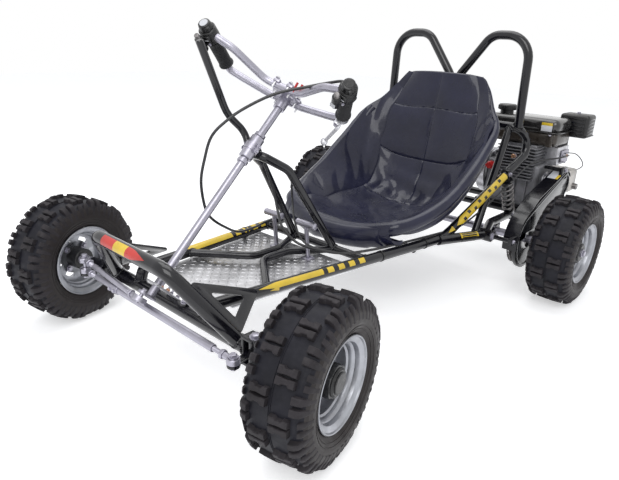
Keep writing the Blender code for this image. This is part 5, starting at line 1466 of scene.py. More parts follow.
def seat():
    """The stitched vinyl sling: rolled front edge, panels, hem over its side tubes."""
    shape = Shape()
    sling(shape)
    path, sizes = hem_path()
    sweep(shape, path, sizes, 0, 20, closed=True)
    for side in (1, -1):
        under = []
        for k in range(41):
            drop = 0.044 * math.sin(math.pi * min(1.0, 0.02 + k / 40)) ** 0.6
            under.append(seat_point(side * 0.97, 0.3 + 7.0 * k / 40)
                         + Vector((-side * 0.002, -0.25 * drop, -drop)))
        sweep(shape, under, 0.016, 0, 16)
    seams = [[(side * seam_at(k * 0.1), k * 0.1) for k in range(1, 100)] for side in (1, -1)]
    seams.append([(0.0, k * 0.1) for k in range(44, 100)])
    for v in CROSS_SEAMS:
        across = [seam_at(v) * (-1 + 2 * k / 40) for k in range(41)]
        seams.append([(u, cross_seam(v, u, seam_at(v))) for u in across])
    for line in seams:
        track = []
        for u, v in line:
            p = seat_point(u, v)
            track.append(p + seat_normal(u, v) * (crease_depth(u, v, p) + 0.0008))
        sweep(shape, track, 0.0021, 1, 6)
    piece = place("sling_seat", shape, "frame", [vinyl(), thread()], ("seat",), slot="seat_vinyl", sharp=60)


def sling(shape):
    """The sling's cover: rows of points from the rolled front edge to the top, made 9 mm thick."""
    rows = []
    count = 210
    stops = sorted(set([10.0 * k / count for k in range(count + 1)]
                       + [s + d for s in CROSS_SEAMS for d in (-0.05, -0.02, 0.0, 0.02, 0.05)]))
    roll = 0.025
    for turn in (205, 180, 150, 120, 90, 65, 45, 28, 14):
        angle = math.radians(turn)
        row = []
        for u in seat_columns(0.0):
            p = seat_point(u, 0.0)
            n = seat_normal(u, 0.0)
            ahead = (p - seat_point(u, 0.12)).normalized()
            wave = 0.0022 * noise.noise(Vector((u * 6, turn * 0.01, 1.0)))
            tuck = -0.002 * math.exp(-((abs(u) - 0.86) / 0.02) ** 2)
            fold = -0.0022 * math.exp(-((u - 0.52 - 0.0008 * turn) / 0.012) ** 2)
            reach = roll + wave + tuck + fold
            row.append(p + ahead * reach * math.sin(angle) - n * reach * (1 - math.cos(angle)) * 0.95)
        rows.append(row)
    for v in stops:
        row = []
        for u in seat_columns(v):
            p = seat_point(u, v)
            fade = min(1.0, v / 0.25)
            row.append(p + seat_normal(u, v) * crease_depth(u, v, p) * fade)
        rows.append(row)
    wide = len(rows[0])
    work = bmesh.new()
    points = [work.verts.new(p) for row in rows for p in row]
    for k in range(len(rows) - 1):
        for j in range(wide - 1):
            face = (k * wide + j, k * wide + j + 1, (k + 1) * wide + j + 1, (k + 1) * wide + j)
            work.faces.new([points[i] for i in face])
    bmesh.ops.recalc_face_normals(work, faces=work.faces)
    if sum(face.normal.z for face in work.faces) > 0:
        bmesh.ops.reverse_faces(work, faces=work.faces)
    bmesh.ops.solidify(work, geom=work.faces, thickness=0.009)
    shape.take(work)


# Rear end and engine

def swing_arm():
    """The welded arm with its cross bar, pivot bosses and bearing carriers."""
    shape = Shape()
    path = swing_arm_path()
    sweep(shape, path, ARM_RADIUS, 0, 24)
    bar = [Vector((-SWING_X, ENGINE_BAR_Y, SWING_Z)), Vector((SWING_X, ENGINE_BAR_Y, SWING_Z))]
    sweep(shape, bar, BAR_RADIUS, 0, 20)
    weld_ends(shape, bar, BAR_RADIUS, path, ARM_RADIUS)
    _, pivot_y, pivot_z = PIVOT
    for side in (1, -1):
        out = (side, 0, 0)
        outer = (side * (PIVOT[0] + 0.026), pivot_y, pivot_z)
        barrel(shape, (side * (PIVOT[0] - 0.022), pivot_y, pivot_z), outer, 0.019, 0, 32, 0.0015)
        bolt(shape, outer, out, 0.0105, 1, 0.006)
        turn = along(LEFT, (side * SWING_X, WHEELBASE, WHEEL_Z))
        lathe(shape, [(-0.012, 0.0131), (-0.012, 0.022), (-0.01, 0.024), (-0.008, 0.031), (-0.007, 0.032),
                      (0.007, 0.032), (0.008, 0.031), (0.01, 0.024), (0.012, 0.022), (0.012, 0.0131)],
              turn, 0, 40, loop=True)
        for k in range(4):
            spot = Vector((*polar(0.0275, math.radians(45 + 90 * k)), side * 0.0075))
            bolt(shape, turn @ spot, out, 0.004, 1)
    place("swing_arm_welded", shape, "frame", [black_paint(), zinc()], ("swing_arm",))


def engine_plate():
    """The plate under the engine with its bolts."""
    shape = Shape()
    outline = rounded_outline([(0.095, 1.25), (0.315, 1.25), (0.315, 1.415), (0.095, 1.415)], 0.006)
    prism(shape, (outline,), PLATE, at(0, 0, SWING_Z + ARM_RADIUS + TOUCH + PLATE / 2))
    for x in (0.125, 0.285):
        for y in (1.258, 1.405):
            bolt(shape, (x, y, SWING_Z + 0.0203), UP, 0.0055, 1)
    place("engine_plate_bolted", shape, "frame", [black_paint(), zinc()], ("engine_plate",))


def cross_plate():
    """The plate that hangs under the hoops' cross tube."""
    shape = Shape()
    _, y, z = CROSS
    low, high = z - 0.085, z - 0.004
    outline = rounded_outline([(-0.165, low), (0.165, low), (0.165, high), (-0.165, high)], 0.008)
    prism(shape, (outline,), 0.005, at(0, y + 0.0035, 0) @ Matrix.Rotation(math.radians(90), 4, "X"))
    for x in (-0.13, 0.0, 0.13):
        bolt(shape, (x, y + 0.001, z - 0.055), (0, -1, 0), 0.006, 1)
        bolt(shape, (x, y + 0.006, z - 0.055), (0, 1, 0), 0.006, 1)
    place("cross_plate_bolted", shape, "frame", [black_paint(), zinc()], ("hoop_cross_plate",), sharp=30)


def shocks():
    """Coil shocks between the main rails and the swing arm."""
    share = (1.1 - RAIL_BEND[1]) / (RAIL_REAR[1] - RAIL_BEND[1])
    turns, turn_steps = 6, 20
    for side, word in SIDES:
        top = Vector((side * (RAIL_BEND[0] + (RAIL_REAR[0] - RAIL_BEND[0]) * share), 1.1,
                      RAIL_BEND[2] + (RAIL_REAR[2] - RAIL_BEND[2]) * share))
        foot = Vector((side * SWING_X, 1.195, SWING_Z))
        length = (top - foot).length
        turn = along(top - foot, foot)
        shape = Shape()
        lathe(shape, [(0.012, 0), (0.012, 0.009), (0.016, 0.01), (0.018, 0.0165), (0.022, 0.0165),
                      (0.023, 0.012), (0.06, 0.012), (0.061, 0.006), (length - 0.045, 0.006),
                      (length - 0.044, 0.013), (length - 0.034, 0.013), (length - 0.033, 0.0195),
                      (length - 0.028, 0.0195), (length - 0.026, 0.01), (length - 0.014, 0.009),
                      (length - 0.014, 0)], turn, 0, 28)
        low, high = 0.025, length - 0.036
        count = turns * turn_steps
        coil = [(*polar(0.0178, 2 * math.pi * k / turn_steps), low + (high - low) * k / count)
                for k in range(count + 1)]
        sweep(shape, coil, 0.0034, 1, 10, matrix=turn)
        eye = Vector((side * 0.013, 0, 0))
        for spot in (top, foot):
            barrel(shape, spot - eye, spot + eye, 0.0165)
            bolt(shape, spot + eye, (side, 0, 0), 0.0065, 2)
        lathe(shape, [(length - 0.044, 0.0131), (length - 0.044, 0.0145), (length - 0.034, 0.0145),
                      (length - 0.034, 0.0131)], turn, 2, 28, loop=True)
        place(word + "_shock_coils", shape, "frame", [black_paint(), dark_steel(), zinc()],
              (word + "_shock",), slot="bright_steel")


def toothed(teeth, tip, root):
    """A sprocket's outline, with four points for each tooth."""
    return [polar(tip if k % 4 in (0, 1) else root, 2 * math.pi * (k + 0.5) / (4 * teeth))
            for k in range(4 * teeth)]


def rear_axle():
    """The axle with its sprocket and the vented brake disc."""
    shape = Shape()
    half = REAR_REACH + 0.046 + 0.006
    barrel(shape, (-half, WHEELBASE, WHEEL_Z), (half, WHEELBASE, WHEEL_Z), 0.0125, 0, 32)
    turn = at(SPROCKET_X, WHEELBASE, WHEEL_Z) @ ABOUT_X
    holes = [circle(*polar(0.045, math.radians(a)), 0.011) for a in range(0, 360, 60)]
    prism(shape, [toothed(40, SPROCKET_RADIUS, 0.0705)] + holes, 0.005, turn, 1, 0.0004)
    lathe(shape, [(-0.022, 0.0124), (-0.022, 0.022), (-0.004, 0.026), (-0.0026, 0.032), (0.0026, 0.032),
                  (0.006, 0.024), (0.006, 0.0124)], turn, 1, 32, loop=True)
    turn = at(DISC_X, WHEELBASE, WHEEL_Z) @ ABOUT_X
    vents = [circle(*polar(r, math.radians(a)), 0.0035, 12)
             for r, start in ((0.064, 0), (0.054, 12)) for a in range(start, 360, 24)]
    prism(shape, [circle(0, 0, 0.075, 64)] + vents, 0.004, turn, 1, 0.0004)
    lathe(shape, [(-0.002, 0.0124), (-0.002, 0.032), (0.004, 0.032), (0.006, 0.022), (0.024, 0.022),
                  (0.024, 0.0124)], turn, 1, 32, loop=True)
    place("rear_axle_round", shape, "rear_axle", [zinc(), dark_steel()], ("rear_axle",), slot="bright_steel")


def chain_line(offset, step):
    """Evenly spaced points round both sprockets."""
    rear, front = Vector((SHAFT_Y, SHAFT_Z)), Vector((WHEELBASE, WHEEL_Z))
    small, large = PINION_RADIUS + 0.0005 + offset, SPROCKET_RADIUS + 0.0015 + offset
    way = rear - front
    base = math.atan2(way.y, way.x)
    lean = math.acos((large - small) / way.length)
    points = [front + Vector(polar(large, base + lean + (2 * math.pi - 2 * lean) * k / 60))
              for k in range(61)]
    points += [rear + Vector(polar(small, base - lean + 2 * lean * k / 30)) for k in range(31)]
    points.append(points[0])
    legs = [(b - a).length for a, b in zip(points, points[1:])]
    total = sum(legs)
    count = int(total / step / 2) * 2
    spots, walked, index = [], 0.0, 0
    for k in range(count):
        goal = total * k / count
        while walked + legs[index] < goal:
            walked += legs[index]
            index += 1
        spots.append(points[index] + (points[index + 1] - points[index]) * ((goal - walked) / legs[index]))
    return spots


def guard_roof(shape):
    """The guard's broad front edge over the chain, with its blank label."""
    low_x, high_x = 0.331, 0.376
    rear, front = Vector((SHAFT_Y, SHAFT_Z)), Vector((WHEELBASE, WHEEL_Z))
    way = (rear - front).normalized()
    up = Vector((-way.y, way.x))
    small, large = 0.0445 + 0.0005, 0.0945 + 0.0005
    track = [rear + Vector((math.cos(a), math.sin(a))) * small
             for a in (math.radians(d) for d in range(30, 120, 10))]
    track += [front + up * large + way * reach for reach in (0.09, 0.06, 0.03, 0.0)]
    base = math.atan2(up.y, up.x)
    track += [front + Vector((math.cos(base + a), math.sin(base + a))) * large
              for a in (math.radians(d) for d in range(8, 75, 8))]
    wide = len(track)
    verts = []
    for x, thick in ((low_x, 0.0), (high_x, 0.0), (high_x, 0.0022), (low_x, 0.0022)):
        for k, spot in enumerate(track):
            before, after = track[max(0, k - 1)], track[min(wide - 1, k + 1)]
            run = (after - before).normalized()
            out = spot + Vector((run.y, -run.x)) * thick
            verts.append((x, out.x, out.y))
    faces = [(a * wide + k, a * wide + k + 1, (a + 1) % 4 * wide + k + 1, (a + 1) % 4 * wide + k)
             for a in range(4) for k in range(wide - 1)]
    faces += [tuple(a * wide for a in range(4)), tuple(a * wide + wide - 1 for a in range(4))[::-1]]
    shape.add(verts, faces)
    start, end = track[8], track[9]
    run = (end - start).normalized()
    out = Vector((run.y, -run.x))
    turn = Matrix(((0, run.x, run.y), LEFT, (0, out.x, out.y))).transposed().to_4x4()
    turn.translation = Vector((0, start.x, start.y))
    block(shape, (0.004, low_x + 0.005, 0.002), (0.06, high_x - 0.013, 0.0032), 0.0003, 2, turn)
    block(shape, (0.004, high_x - 0.014, 0.002), (0.06, high_x - 0.005, 0.0032), 0.0003, 3, turn)


def chain_links(shape):
    """Paired side plates and a roller at each pin."""
    spots = chain_line(0.004, 0.0095)
    across = Vector(LEFT)
    for k, spot in enumerate(spots):
        after = spots[(k + 1) % len(spots)]
        way = Vector((0, after.x - spot.x, after.y - spot.y))
        up = way.normalized().cross(across)
        matrix = Matrix((way.normalized(), up, across)).transposed().to_4x4()
        matrix.translation = Vector((SPROCKET_X, (spot.x + after.x) / 2, (spot.y + after.y) / 2))
        half = way.length / 2
        outline = (arc(-half, 0, 0.0037, 90, 271, 45) + [(0, -0.0027)] + arc(half, 0, 0.0037, -90, 91, 45)
                   + [(0, 0.0027)])
        wide = len(outline)
        reach = 0.004 if k % 2 else 0.0029
        for side in (1, -1):
            low = side * reach - 0.0005
            verts = [(x, y, z) for z in (low, low + 0.001) for x, y in outline]
            faces = [tuple(range(wide))[::-1], tuple(range(wide, 2 * wide))]
            faces += [(j, (j + 1) % wide, wide + (j + 1) % wide, wide + j) for j in range(wide)]
            shape.add(verts, faces, 0, matrix)
        roller = Vector((SPROCKET_X, spot.x, spot.y))
        barrel(shape, roller - 0.0048 * across, roller + 0.0048 * across, 0.0024, 0, 8, 0.0003)


def drive_chain():
    """The chain, and the guard with its stays, bolts and label."""
    shape = Shape()
    chain_links(shape)
    place("drive_chain_links", shape, "frame", [dark_steel()], ("drive_chain",), slot="bright_steel",
          sharp=30)
    shape = Shape()
    cover, ridge, lip = [[tuple(p) for p in chain_line(offset, 0.008)] for offset in (0.018, 0.006, 0.012)]
    along_x = Matrix(((0, 0, 1, 0), (1, 0, 0, 0), (0, 1, 0, 0), (0, 0, 0, 1)))
    hole = circle(WHEELBASE, WHEEL_Z, 0.026, 32)
    prism(shape, (cover, hole), 0.012, at(0.368, 0, 0) @ along_x, 0, 0.0018)
    prism(shape, (lip, ridge), 0.003, at(0.3745, 0, 0) @ along_x, 0, 0.001)
    _, pivot_y, pivot_z = PIVOT
    stay_y, stay_z = SHAFT_Y - 0.02, SHAFT_Z + 0.052
    block(shape, (0.362, pivot_y - 0.012, pivot_z - 0.012), (0.374, WHEELBASE - 0.03, pivot_z + 0.012), 0.002)
    block(shape, (0.362, SHAFT_Y - 0.045, SHAFT_Z + 0.02), (0.374, SHAFT_Y + 0.005, SHAFT_Z + 0.062), 0.002)
    barrel(shape, (PIVOT[0] + 0.026, pivot_y, pivot_z), (0.366, pivot_y, pivot_z), 0.007, 0, 20)
    barrel(shape, (0.305, stay_y, stay_z), (0.366, stay_y, stay_z), 0.006, 0, 20)
    guard_roof(shape)
    bolt(shape, (0.374, pivot_y, pivot_z), LEFT, 0.006, 1)
    bolt(shape, (0.374, stay_y, stay_z), LEFT, 0.006, 1)
    place("chain_guard_cover", shape, "frame", [black_paint(), zinc(), pale_film_and_reflection(), yellow_film()],
          ("chain_guard",), sharp=30)


def cylinder(shape):
    """The finned cylinder with its bolts and the spark plug."""
    low, top, fins = SHAFT_Z + 0.004, 0.4315, 11
    pitch = (top - 0.004 - low) / fins
    block(shape, (0.17, 1.272, low), (0.282, 1.372, top), 0.006)
    for k in range(fins):
        z = low + pitch * (k + 0.3)
        block(shape, (0.156, 1.243, z), (0.288, 1.375, z + pitch * 0.36), 0.0008, steps=1)
    for x in (0.178, 0.262):
        bolt(shape, (x, 1.272, low + 0.05), (0, -1, 0), 0.0055, 1)
    barrel(shape, (0.222, 1.27, 0.385), (0.222, 1.226, 0.392), 0.0065, 4, 20)
    barrel(shape, (0.222, 1.244, 0.389), (0.222, 1.238, 0.39), 0.0095, 1, 6)


def carburettor(shape):
    """The body, bowl, screws and the air tube above it."""
    block(shape, (0.272, 1.352, SHAFT_Z + 0.054), (0.328, 1.448, 0.424), 0.004, 2, None, 3)
    lathe(shape, [(0, 0), (0, 0.0145), (0.003, 0.016), (0.03, 0.016), (0.033, 0.0145), (0.033, 0)],
          along(UP, (0.312, 1.43, 0.378)), 2, 28)
    barrel(shape, (0.328, 1.4, 0.392), (0.342, 1.4, 0.392), 0.009, 2, 20)
    bolt(shape, (0.342, 1.4, 0.392), LEFT, 0.0045, 4)
    threaded(shape, (0.33, 1.38, 0.372), (0.348, 1.38, 0.372), 0.003, 1)
    block(shape, (0.33, 1.374, 0.366), (0.334, 1.44, 0.41), 0.001, 1)
    barrel(shape, (0.312, 1.43, SHAFT_Z + 0.078), (0.312, 1.43, 0.4545), 0.0155, 5, 28)


def engine():
    """Crankcase, finned cylinder, carburettor, shaft boss and small fittings."""
    deck = SWING_Z + ARM_RADIUS + TOUCH + PLATE
    shape = Shape()
    block(shape, (0.115, 1.264, deck), (0.305, 1.4, SHAFT_Z + 0.062), 0.014, steps=4)
    block(shape, (0.105, 1.262, deck), (0.312, 1.402, deck + 0.012), 0.003)
    for x in (0.15, 0.19, 0.23, 0.27):
        block(shape, (x - 0.003, 1.256, deck + 0.016), (x + 0.003, 1.266, SHAFT_Z + 0.04), 0.001)
    cylinder(shape)
    lathe(shape, [(0, 0), (0, 0.032), (0.004, 0.032), (0.006, 0.026), (0.02, 0.024), (0.021, 0.011)],
          along(LEFT, (0.304, SHAFT_Y, SHAFT_Z)), 2, 40)
    for k in range(6):
        y, z = polar(0.029, math.radians(60 * k))
        bolt(shape, (0.308, SHAFT_Y + y, SHAFT_Z + z), LEFT, 0.0034, 1)
    barrel(shape, (0.3, SHAFT_Y, SHAFT_Z), (SPROCKET_X + 0.006, SHAFT_Y, SHAFT_Z), 0.0098, 1, 28)
    pinion = at(SPROCKET_X, SHAFT_Y, SHAFT_Z) @ ABOUT_X
    prism(shape, (toothed(11, PINION_RADIUS, 0.0222),), 0.005, pinion, 3, 0.0004)
    carburettor(shape)
    place("engine_block_finned", shape, "frame",
          [cast_metal(), zinc(), alloy(), dark_steel(), copper(), black_plastic()], ("engine_block",),
          slot="cast_grey", sharp=32)


def recoil_starter():
    """The pressed cover with its louvres, bolts and pull handle."""
    shape = Shape()
    turn = along((-1, 0, 0), (0.1147, SHAFT_Y, SHAFT_Z + 0.005))
    lathe(shape, [(0, 0.074), (0, 0.081), (0.0015, 0.082), (0.028, 0.082), (0.034, 0.077), (0.0345, 0.05),
                  (0.034, 0.048), (0.034, 0)], turn, 0, 64)
    louvres = 20
    for k in range(louvres):
        block(shape, (0.052, -0.0035, 0.0335), (0.072, 0.0035, 0.0362), 0.001, 0,
              turn @ Matrix.Rotation(2 * math.pi * k / louvres, 4, "Z"))
    lathe(shape, [(0.03, 0), (0.03, 0.049), (0.05, 0.047), (0.052, 0.042), (0.052, 0)], turn, 0, 48)
    for k in range(3):
        spot = Vector((*polar(0.076, math.radians(30 + 120 * k)), 0.0335))
        bolt(shape, turn @ spot, (-1, 0, 0), 0.0042, 1)
    block(shape, (0.05, -0.008, 0.036), (0.082, 0.008, 0.05), 0.004, 2,
          turn @ Matrix.Rotation(math.radians(60), 4, "Z"))
    place("recoil_starter_louvred", shape, "frame", [alloy(), zinc(), black_plastic()], ("recoil_starter",),
          slot="bright_steel", sharp=32)


def engine_covers():
    """Recoil starter, muffler with its slotted shield, and the oil filler's knob."""
    recoil_starter()
    shape = Shape()
    block(shape, (0.17, 1.4003, 0.262), (0.372, 1.462, 0.345), 0.014, steps=4)
    for k in range(7):
        for row in range(3):
            x, z = 0.192 + 0.026 * k, 0.28 + 0.019 * row
            block(shape, (x, 1.4615, z), (x + 0.017, 1.4635, z + 0.0085), 0.001, 1, None, 1)
    barrel(shape, (0.366, 1.44, 0.282), (0.384, 1.44, 0.282), 0.011, 1)
    place("muffler_shielded", shape, "frame", [heat_steel(), dark_steel()], ("muffler",), slot="bright_steel",
          sharp=30)
    shape = Shape()
    turn = along((0, -1, 0), (0.14, 1.264, 0.345))
    lathe(shape, [(0, 0), (0, 0.0105), (0.012, 0.0105), (0.0125, 0.014), (0.024, 0.014), (0.028, 0.012),
                  (0.0355, 0.01), (0.036, 0)], turn, 0, 14)
    block(shape, (-0.0135, -0.003, 0.026), (0.0135, 0.003, 0.0357), 0.0015, 0, turn)
    place("oil_filler_knob", shape, "frame", [red_plastic()], ("oil_filler_cap",), slot="red_plastic",
          sharp=30)


def fuel_tank():
    """A pressed tank with its flange, blank labels and straps, and the ribbed cap."""
    shape = Shape()
    low, high, seam = 0.432, 0.522, 0.477
    block(shape, (0.088, 1.266, seam - 0.002), (0.342, 1.4, high), 0.02, steps=5)
    block(shape, (0.09, 1.268, low), (0.34, 1.398, seam + 0.004), 0.014, 1, None, 4)
    flange = rounded_outline([(0.083, 1.261), (0.347, 1.261), (0.347, 1.403), (0.083, 1.403)], 0.024)
    prism(shape, (flange,), 0.004, at(0, 0, seam + 0.002), 0, 0.0012)
    block(shape, (0.286, 1.2648, 0.483), (0.322, 1.2662, 0.502), 0.0003, 2)
    block(shape, (0.286, 1.2648, 0.502), (0.322, 1.2662, 0.511), 0.0003, 4)
    for x in (0.11, 0.32):
        bolt(shape, (x, 1.2605, 0.4745), (0, 0, -1), 0.005, 3)
        block(shape, (x - 0.01, 1.262, 0.4325), (x + 0.01, 1.272, 0.474), 0.002, 1)
    place("fuel_tank_pressed", shape, "frame",
          [tank_paint(), bronze_paint(), pale_film_and_reflection(), zinc(), yellow_film()], ("fuel_tank",), sharp=40)
    shape = Shape()
    turn = at(0.135, 1.325, high)
    lathe(shape, [(0.0003, 0), (0.0003, 0.0225), (0.01, 0.0225), (0.0105, 0.0295), (0.012, 0.031),
                  (0.026, 0.031), (0.0295, 0.027), (0.03, 0)], turn, 0, 48)
    ribs = 24
    for k in range(ribs):
        block(shape, (0.03, -0.0016, 0.0125), (0.0322, 0.0016, 0.0255), 0.0006, 0,
              turn @ Matrix.Rotation(2 * math.pi * k / ribs, 4, "Z"), 1)
    place("fuel_cap_ribbed", shape, "frame", [black_plastic()], ("fuel_cap",), slot="black_plastic")


def air_cleaner():
    """A box with louvres on its three open sides, a seam and a bolt on top."""
    shape = Shape()
    low, high = Vector((0.292, 1.406, 0.455)), Vector((0.39, 1.482, 0.533))
    block(shape, low, high, 0.01, steps=4)
    ends, out, sunk, tall = 0.012, 0.0012, 0.004, 0.0055
    for k in range(5):
        z = low.z + 0.014 + 0.0118 * k
        for start, end in (((high.x - sunk, low.y + ends), (high.x + out, high.y - ends)),
                           ((low.x + ends, high.y - sunk), (high.x - ends, high.y + out)),
                           ((low.x + ends, low.y - out), (high.x - ends, low.y + sunk))):
            block(shape, (*start, z), (*end, z + tall), 0.0012, 1)
    block(shape, (low.x - 0.001, low.y - 0.001, low.z + 0.0045),
          (high.x + 0.001, high.y + 0.001, low.z + 0.0085), 0.001)
    bolt(shape, ((low.x + high.x) / 2, (low.y + high.y) / 2, high.z), UP, 0.0065, 2)
    place("air_cleaner_louvred", shape, "frame", [black_plastic(), black_paint(), zinc()], ("air_cleaner",),
          slot="black_plastic", sharp=32)


def brake_caliper():
    """Two halves round the disc, a bridge, the piston, bolts and a bracket."""
    shape = Shape()
    y, z = WHEELBASE + 0.05, WHEEL_Z + 0.04
    left, right = -0.311, -0.347
    for start, end, front in ((right, -0.3372, y - 0.012), (-0.3228, left, y - 0.012),
                              (right, left, y + 0.0285)):
        block(shape, (start, front, z - 0.02), (end, y + 0.04, z + 0.03), 0.002)
    barrel(shape, (left, y + 0.012, z + 0.004), (-0.303, y + 0.012, z + 0.004), 0.014, 0, 28)
    for dz in (-0.012, 0.022):
        bolt(shape, (left, y + 0.03, z + dz), LEFT, 0.005, 1)
        bolt(shape, (right, y + 0.03, z + dz), (-1, 0, 0), 0.005, 1)
    block(shape, (-0.321, y + 0.012, z - 0.014), (-0.256, y + 0.03, z - 0.002), 0.002, 2)
    place("brake_caliper_cast", shape, "frame", [cast_metal(), zinc(), black_paint()], ("brake_caliper",),
          slot="cast_grey")


# Cables and decals

CABLE_RADIUS = 0.0034


def cable_clip(shape, x, y, z):
    """A band round the main rail that holds the cables."""
    lathe(shape, [(-0.004, 0.0142), (-0.004, 0.0152), (0.004, 0.0152), (0.004, 0.0142)],
          along((0, 1, 0), (x, y, z)), 1, 24, loop=True)


def cables():
    """Throttle and brake cables, clipped between the hand controls, the frame and the engine."""
    loop = [(0.199, 0.337, 0.646), (0.18, 0.345, 0.655), (0.15, 0.346, 0.652), (0.11, 0.307, 0.64),
            (0.06, 0.253, 0.622), (0.02, 0.2, 0.59), (0.0, 0.159, 0.56), (-0.015, 0.131, 0.527),
            (-0.025, 0.119, 0.478), (-0.03, 0.111, 0.424), (-0.04, 0.128, 0.358), (-0.055, 0.158, 0.321),
            (-0.075, 0.214, 0.282), (-0.105, 0.285, 0.245), (-0.14, 0.372, 0.229), (-0.172, 0.45, 0.222),
            (-0.188, 0.56, 0.22), (-0.2, 0.68, 0.219), (-0.214, 0.78, 0.22)]
    shape = Shape()
    sweep(shape, smooth_path(loop), CABLE_RADIUS, 0, 12)
    for k in (14, 16, 18):
        spot = Vector(loop[k])
        x, z = rail_at(min(spot.y, RAIL_BEND[1]))
        cable_clip(shape, -x, spot.y, z)
    piece = place("throttle_cable", shape, None, [cable_sheath(), black_plastic()], slot="black_plastic")
    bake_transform(piece)
    shape = Shape()
    second = [(-0.014, 0.262, 0.52), (-0.02, 0.295, 0.45), (-0.012, 0.322, 0.374), (0.01, 0.32, 0.318),
              (0.05, 0.3, 0.29), (0.105, 0.3, 0.266), (0.15, 0.345, 0.248), (0.176, 0.4, 0.236),
              (0.192, 0.5, 0.226), (0.206, 0.6, 0.222), (0.219, 0.7, 0.2195), (0.23, 0.78, 0.2185)]
    sweep(shape, smooth_path(second), CABLE_RADIUS, 0, 12)
    third = [(0.046, 0.326, 0.428), (0.03, 0.345, 0.395), (0.02, 0.36, 0.35), (0.045, 0.345, 0.3),
             (0.1, 0.325, 0.262), (0.15, 0.37, 0.24), (0.176, 0.43, 0.23), (0.192, 0.52, 0.224),
             (0.208, 0.62, 0.22)]
    sweep(shape, smooth_path(third), 0.0026, 0, 12)
    for y in (0.52, 0.7):
        x, z = rail_at(y)
        cable_clip(shape, x, y, z)
    place("brake_cables", shape, "frame", [cable_sheath(), black_plastic()], slot="black_plastic")
    shape = Shape()
    rear = [(0.345, 1.395, 0.392), (0.36, 1.36, 0.4), (0.352, 1.3, 0.398), (0.316, 1.24, 0.39),
            (0.29, 1.19, 0.372), (0.276, 1.12, 0.33), (0.262, 1.04, 0.285), (0.25, 0.96, 0.248),
            (0.243, 0.88, 0.224), (0.236, 0.81, 0.216)]
    sweep(shape, smooth_path(rear), 0.0028, 0, 12)
    wire = [(0.334, 1.44, 0.396), (0.352, 1.462, 0.392), (0.368, 1.482, 0.372), (0.374, 1.49, 0.35),
            (0.362, 1.478, 0.336), (0.346, 1.452, 0.336)]
    sweep(shape, smooth_path(wire), 0.0016, 0, 10)
    place("engine_cable", shape, "frame", [cable_sheath()], slot="black_plastic")


def band(shape, path, start, end, radius, low, high, slot=0, taper=0.0, steps=None):
    """A strip of film on a tube: from start to end along it, and between two angles from its top."""
    path = [Vector(p) for p in path]
    reach = [0.0]
    for a, b in zip(path, path[1:]):
        reach.append(reach[-1] + (b - a).length)
    count = steps or max(2, int((end - start) / 0.012))
    verts, wide = [], 7
    for k in range(count + 1):
        goal = start + (end - start) * k / count
        index = max(i for i in range(len(reach) - 1) if reach[i] <= goal + 1e-9)
        share = (goal - reach[index]) / (reach[index + 1] - reach[index])
        spot = path[index] + (path[index + 1] - path[index]) * share
        way = (path[index + 1] - path[index]).normalized()
        up = (Vector((0, 0, 1)) - way * way.z).normalized()
        out = way.cross(up)
        shrink = min(1.0, (goal - start) / taper + 0.02) if taper > 0 else 1.0
        for j in range(wide):
            angle = math.radians(low + (high - low) * (0.5 + (j / (wide - 1) - 0.5) * shrink))
            verts.append(spot + (up * math.cos(angle) + out * math.sin(angle)) * (radius + 0.0004))
    faces = [(k * wide + j, k * wide + j + 1, (k + 1) * wide + j + 1, (k + 1) * wide + j)
             for k in range(count) for j in range(wide - 1)]
    shape.add(verts, faces, slot)


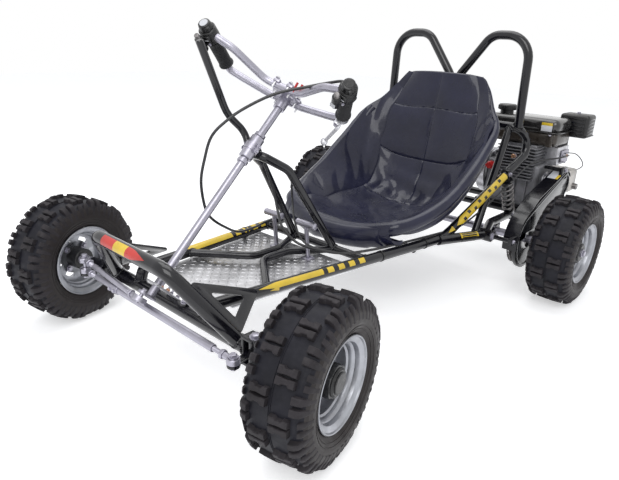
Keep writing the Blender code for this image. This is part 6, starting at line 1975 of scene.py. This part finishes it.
def decals():
    """Plain yellow stripes on both rails and a striped band on the bumper."""
    for side, word in SIDES:
        shape = Shape()
        path = rail_path(side)
        edge = (18, 78) if side > 0 else (-80, 70)
        barb = (66, 106) if side > 0 else (48, 88)
        band(shape, path, 0.15, 0.34, RAIL_RADIUS, *edge, 0, taper=0.05, steps=30)
        band(shape, path, 0.178, 0.204, RAIL_RADIUS, *barb, 0, taper=0.026, steps=8)
        for k in range(4):
            start = 0.354 + k * 0.036
            band(shape, path, start, start + 0.02, RAIL_RADIUS, *edge, 0)
        panel = (5, 105) if side > 0 else (-105, -5)
        band(shape, path, 0.88, 1.155, RAIL_RADIUS, *panel, 0, taper=0.03, steps=36)
        for k in range(8):
            start = 0.915 + k * 0.028
            middle = (panel[0] + panel[1]) / 2 + 14 * (-1) ** k
            band(shape, path, start, start + 0.012, RAIL_RADIUS + 0.0002, middle - 20, middle + 20, 1)
        band(shape, path, 0.838, 0.866, RAIL_RADIUS, *edge, 0, taper=0.026)
        lower = lower_rail_path(side)
        band(shape, lower, 0.085, 0.165, LOWER_RADIUS, edge[0] * 0.9, edge[1], 0, steps=8)
        band(shape, lower, 0.092, 0.158, LOWER_RADIUS + 0.0002, edge[0] * 0.7, edge[1] * 1.8, 1, steps=8)
        place(word + "_rail_stripes", shape, "frame", [yellow_film(), black_film()], slot="black_paint")
    shape = Shape()
    path = bumper_path()
    middle = sum((b - a).length for a, b in zip(path, path[1:])) / 2
    strips = ((-0.08, -0.01, 0, 0.05), (-0.01, 0.036, 1, 0.0), (0.036, 0.086, 0, 0.0))
    for start, end, slot, taper in strips:
        band(shape, path, middle + start, middle + end, BUMPER_RADIUS, -100, -12, slot, taper)
    place("bumper_stripes", shape, "frame", [red_film(), yellow_film()], slot="black_paint")


def carried_over():
    """Finishes for CAD pieces that still show."""
    by_slot = {"black_paint": black_paint, "bright_steel": zinc, "tread_rubber": rubber,
               "rim_paint": rim_paint, "black_plastic": black_plastic, "seat_vinyl": vinyl,
               "cast_grey": cast_metal, "tread_plate": tread_plate, "red_plastic": red_plastic}
    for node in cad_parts.values():
        for slot in node.material_slots:
            if slot.material is None:
                continue
            for word, made in by_slot.items():
                if slot.material.name.startswith(word):
                    slot.material = made()
                    break


def main():
    """Camera and cables first, then the pieces from front to rear."""
    camera()
    stage()
    cables()
    frame_tubes()
    front_beam()
    gusset_plates()
    floor_plate()
    column_fittings()
    pedals_and_lever()
    steering()
    hand_controls()
    tie_rod()
    drag_link()
    knuckles()
    wheels()
    seat()
    swing_arm()
    engine_plate()
    cross_plate()
    shocks()
    rear_axle()
    drive_chain()
    engine()
    engine_covers()
    fuel_tank()
    air_cleaner()
    brake_caliper()
    decals()
    carried_over()


main()
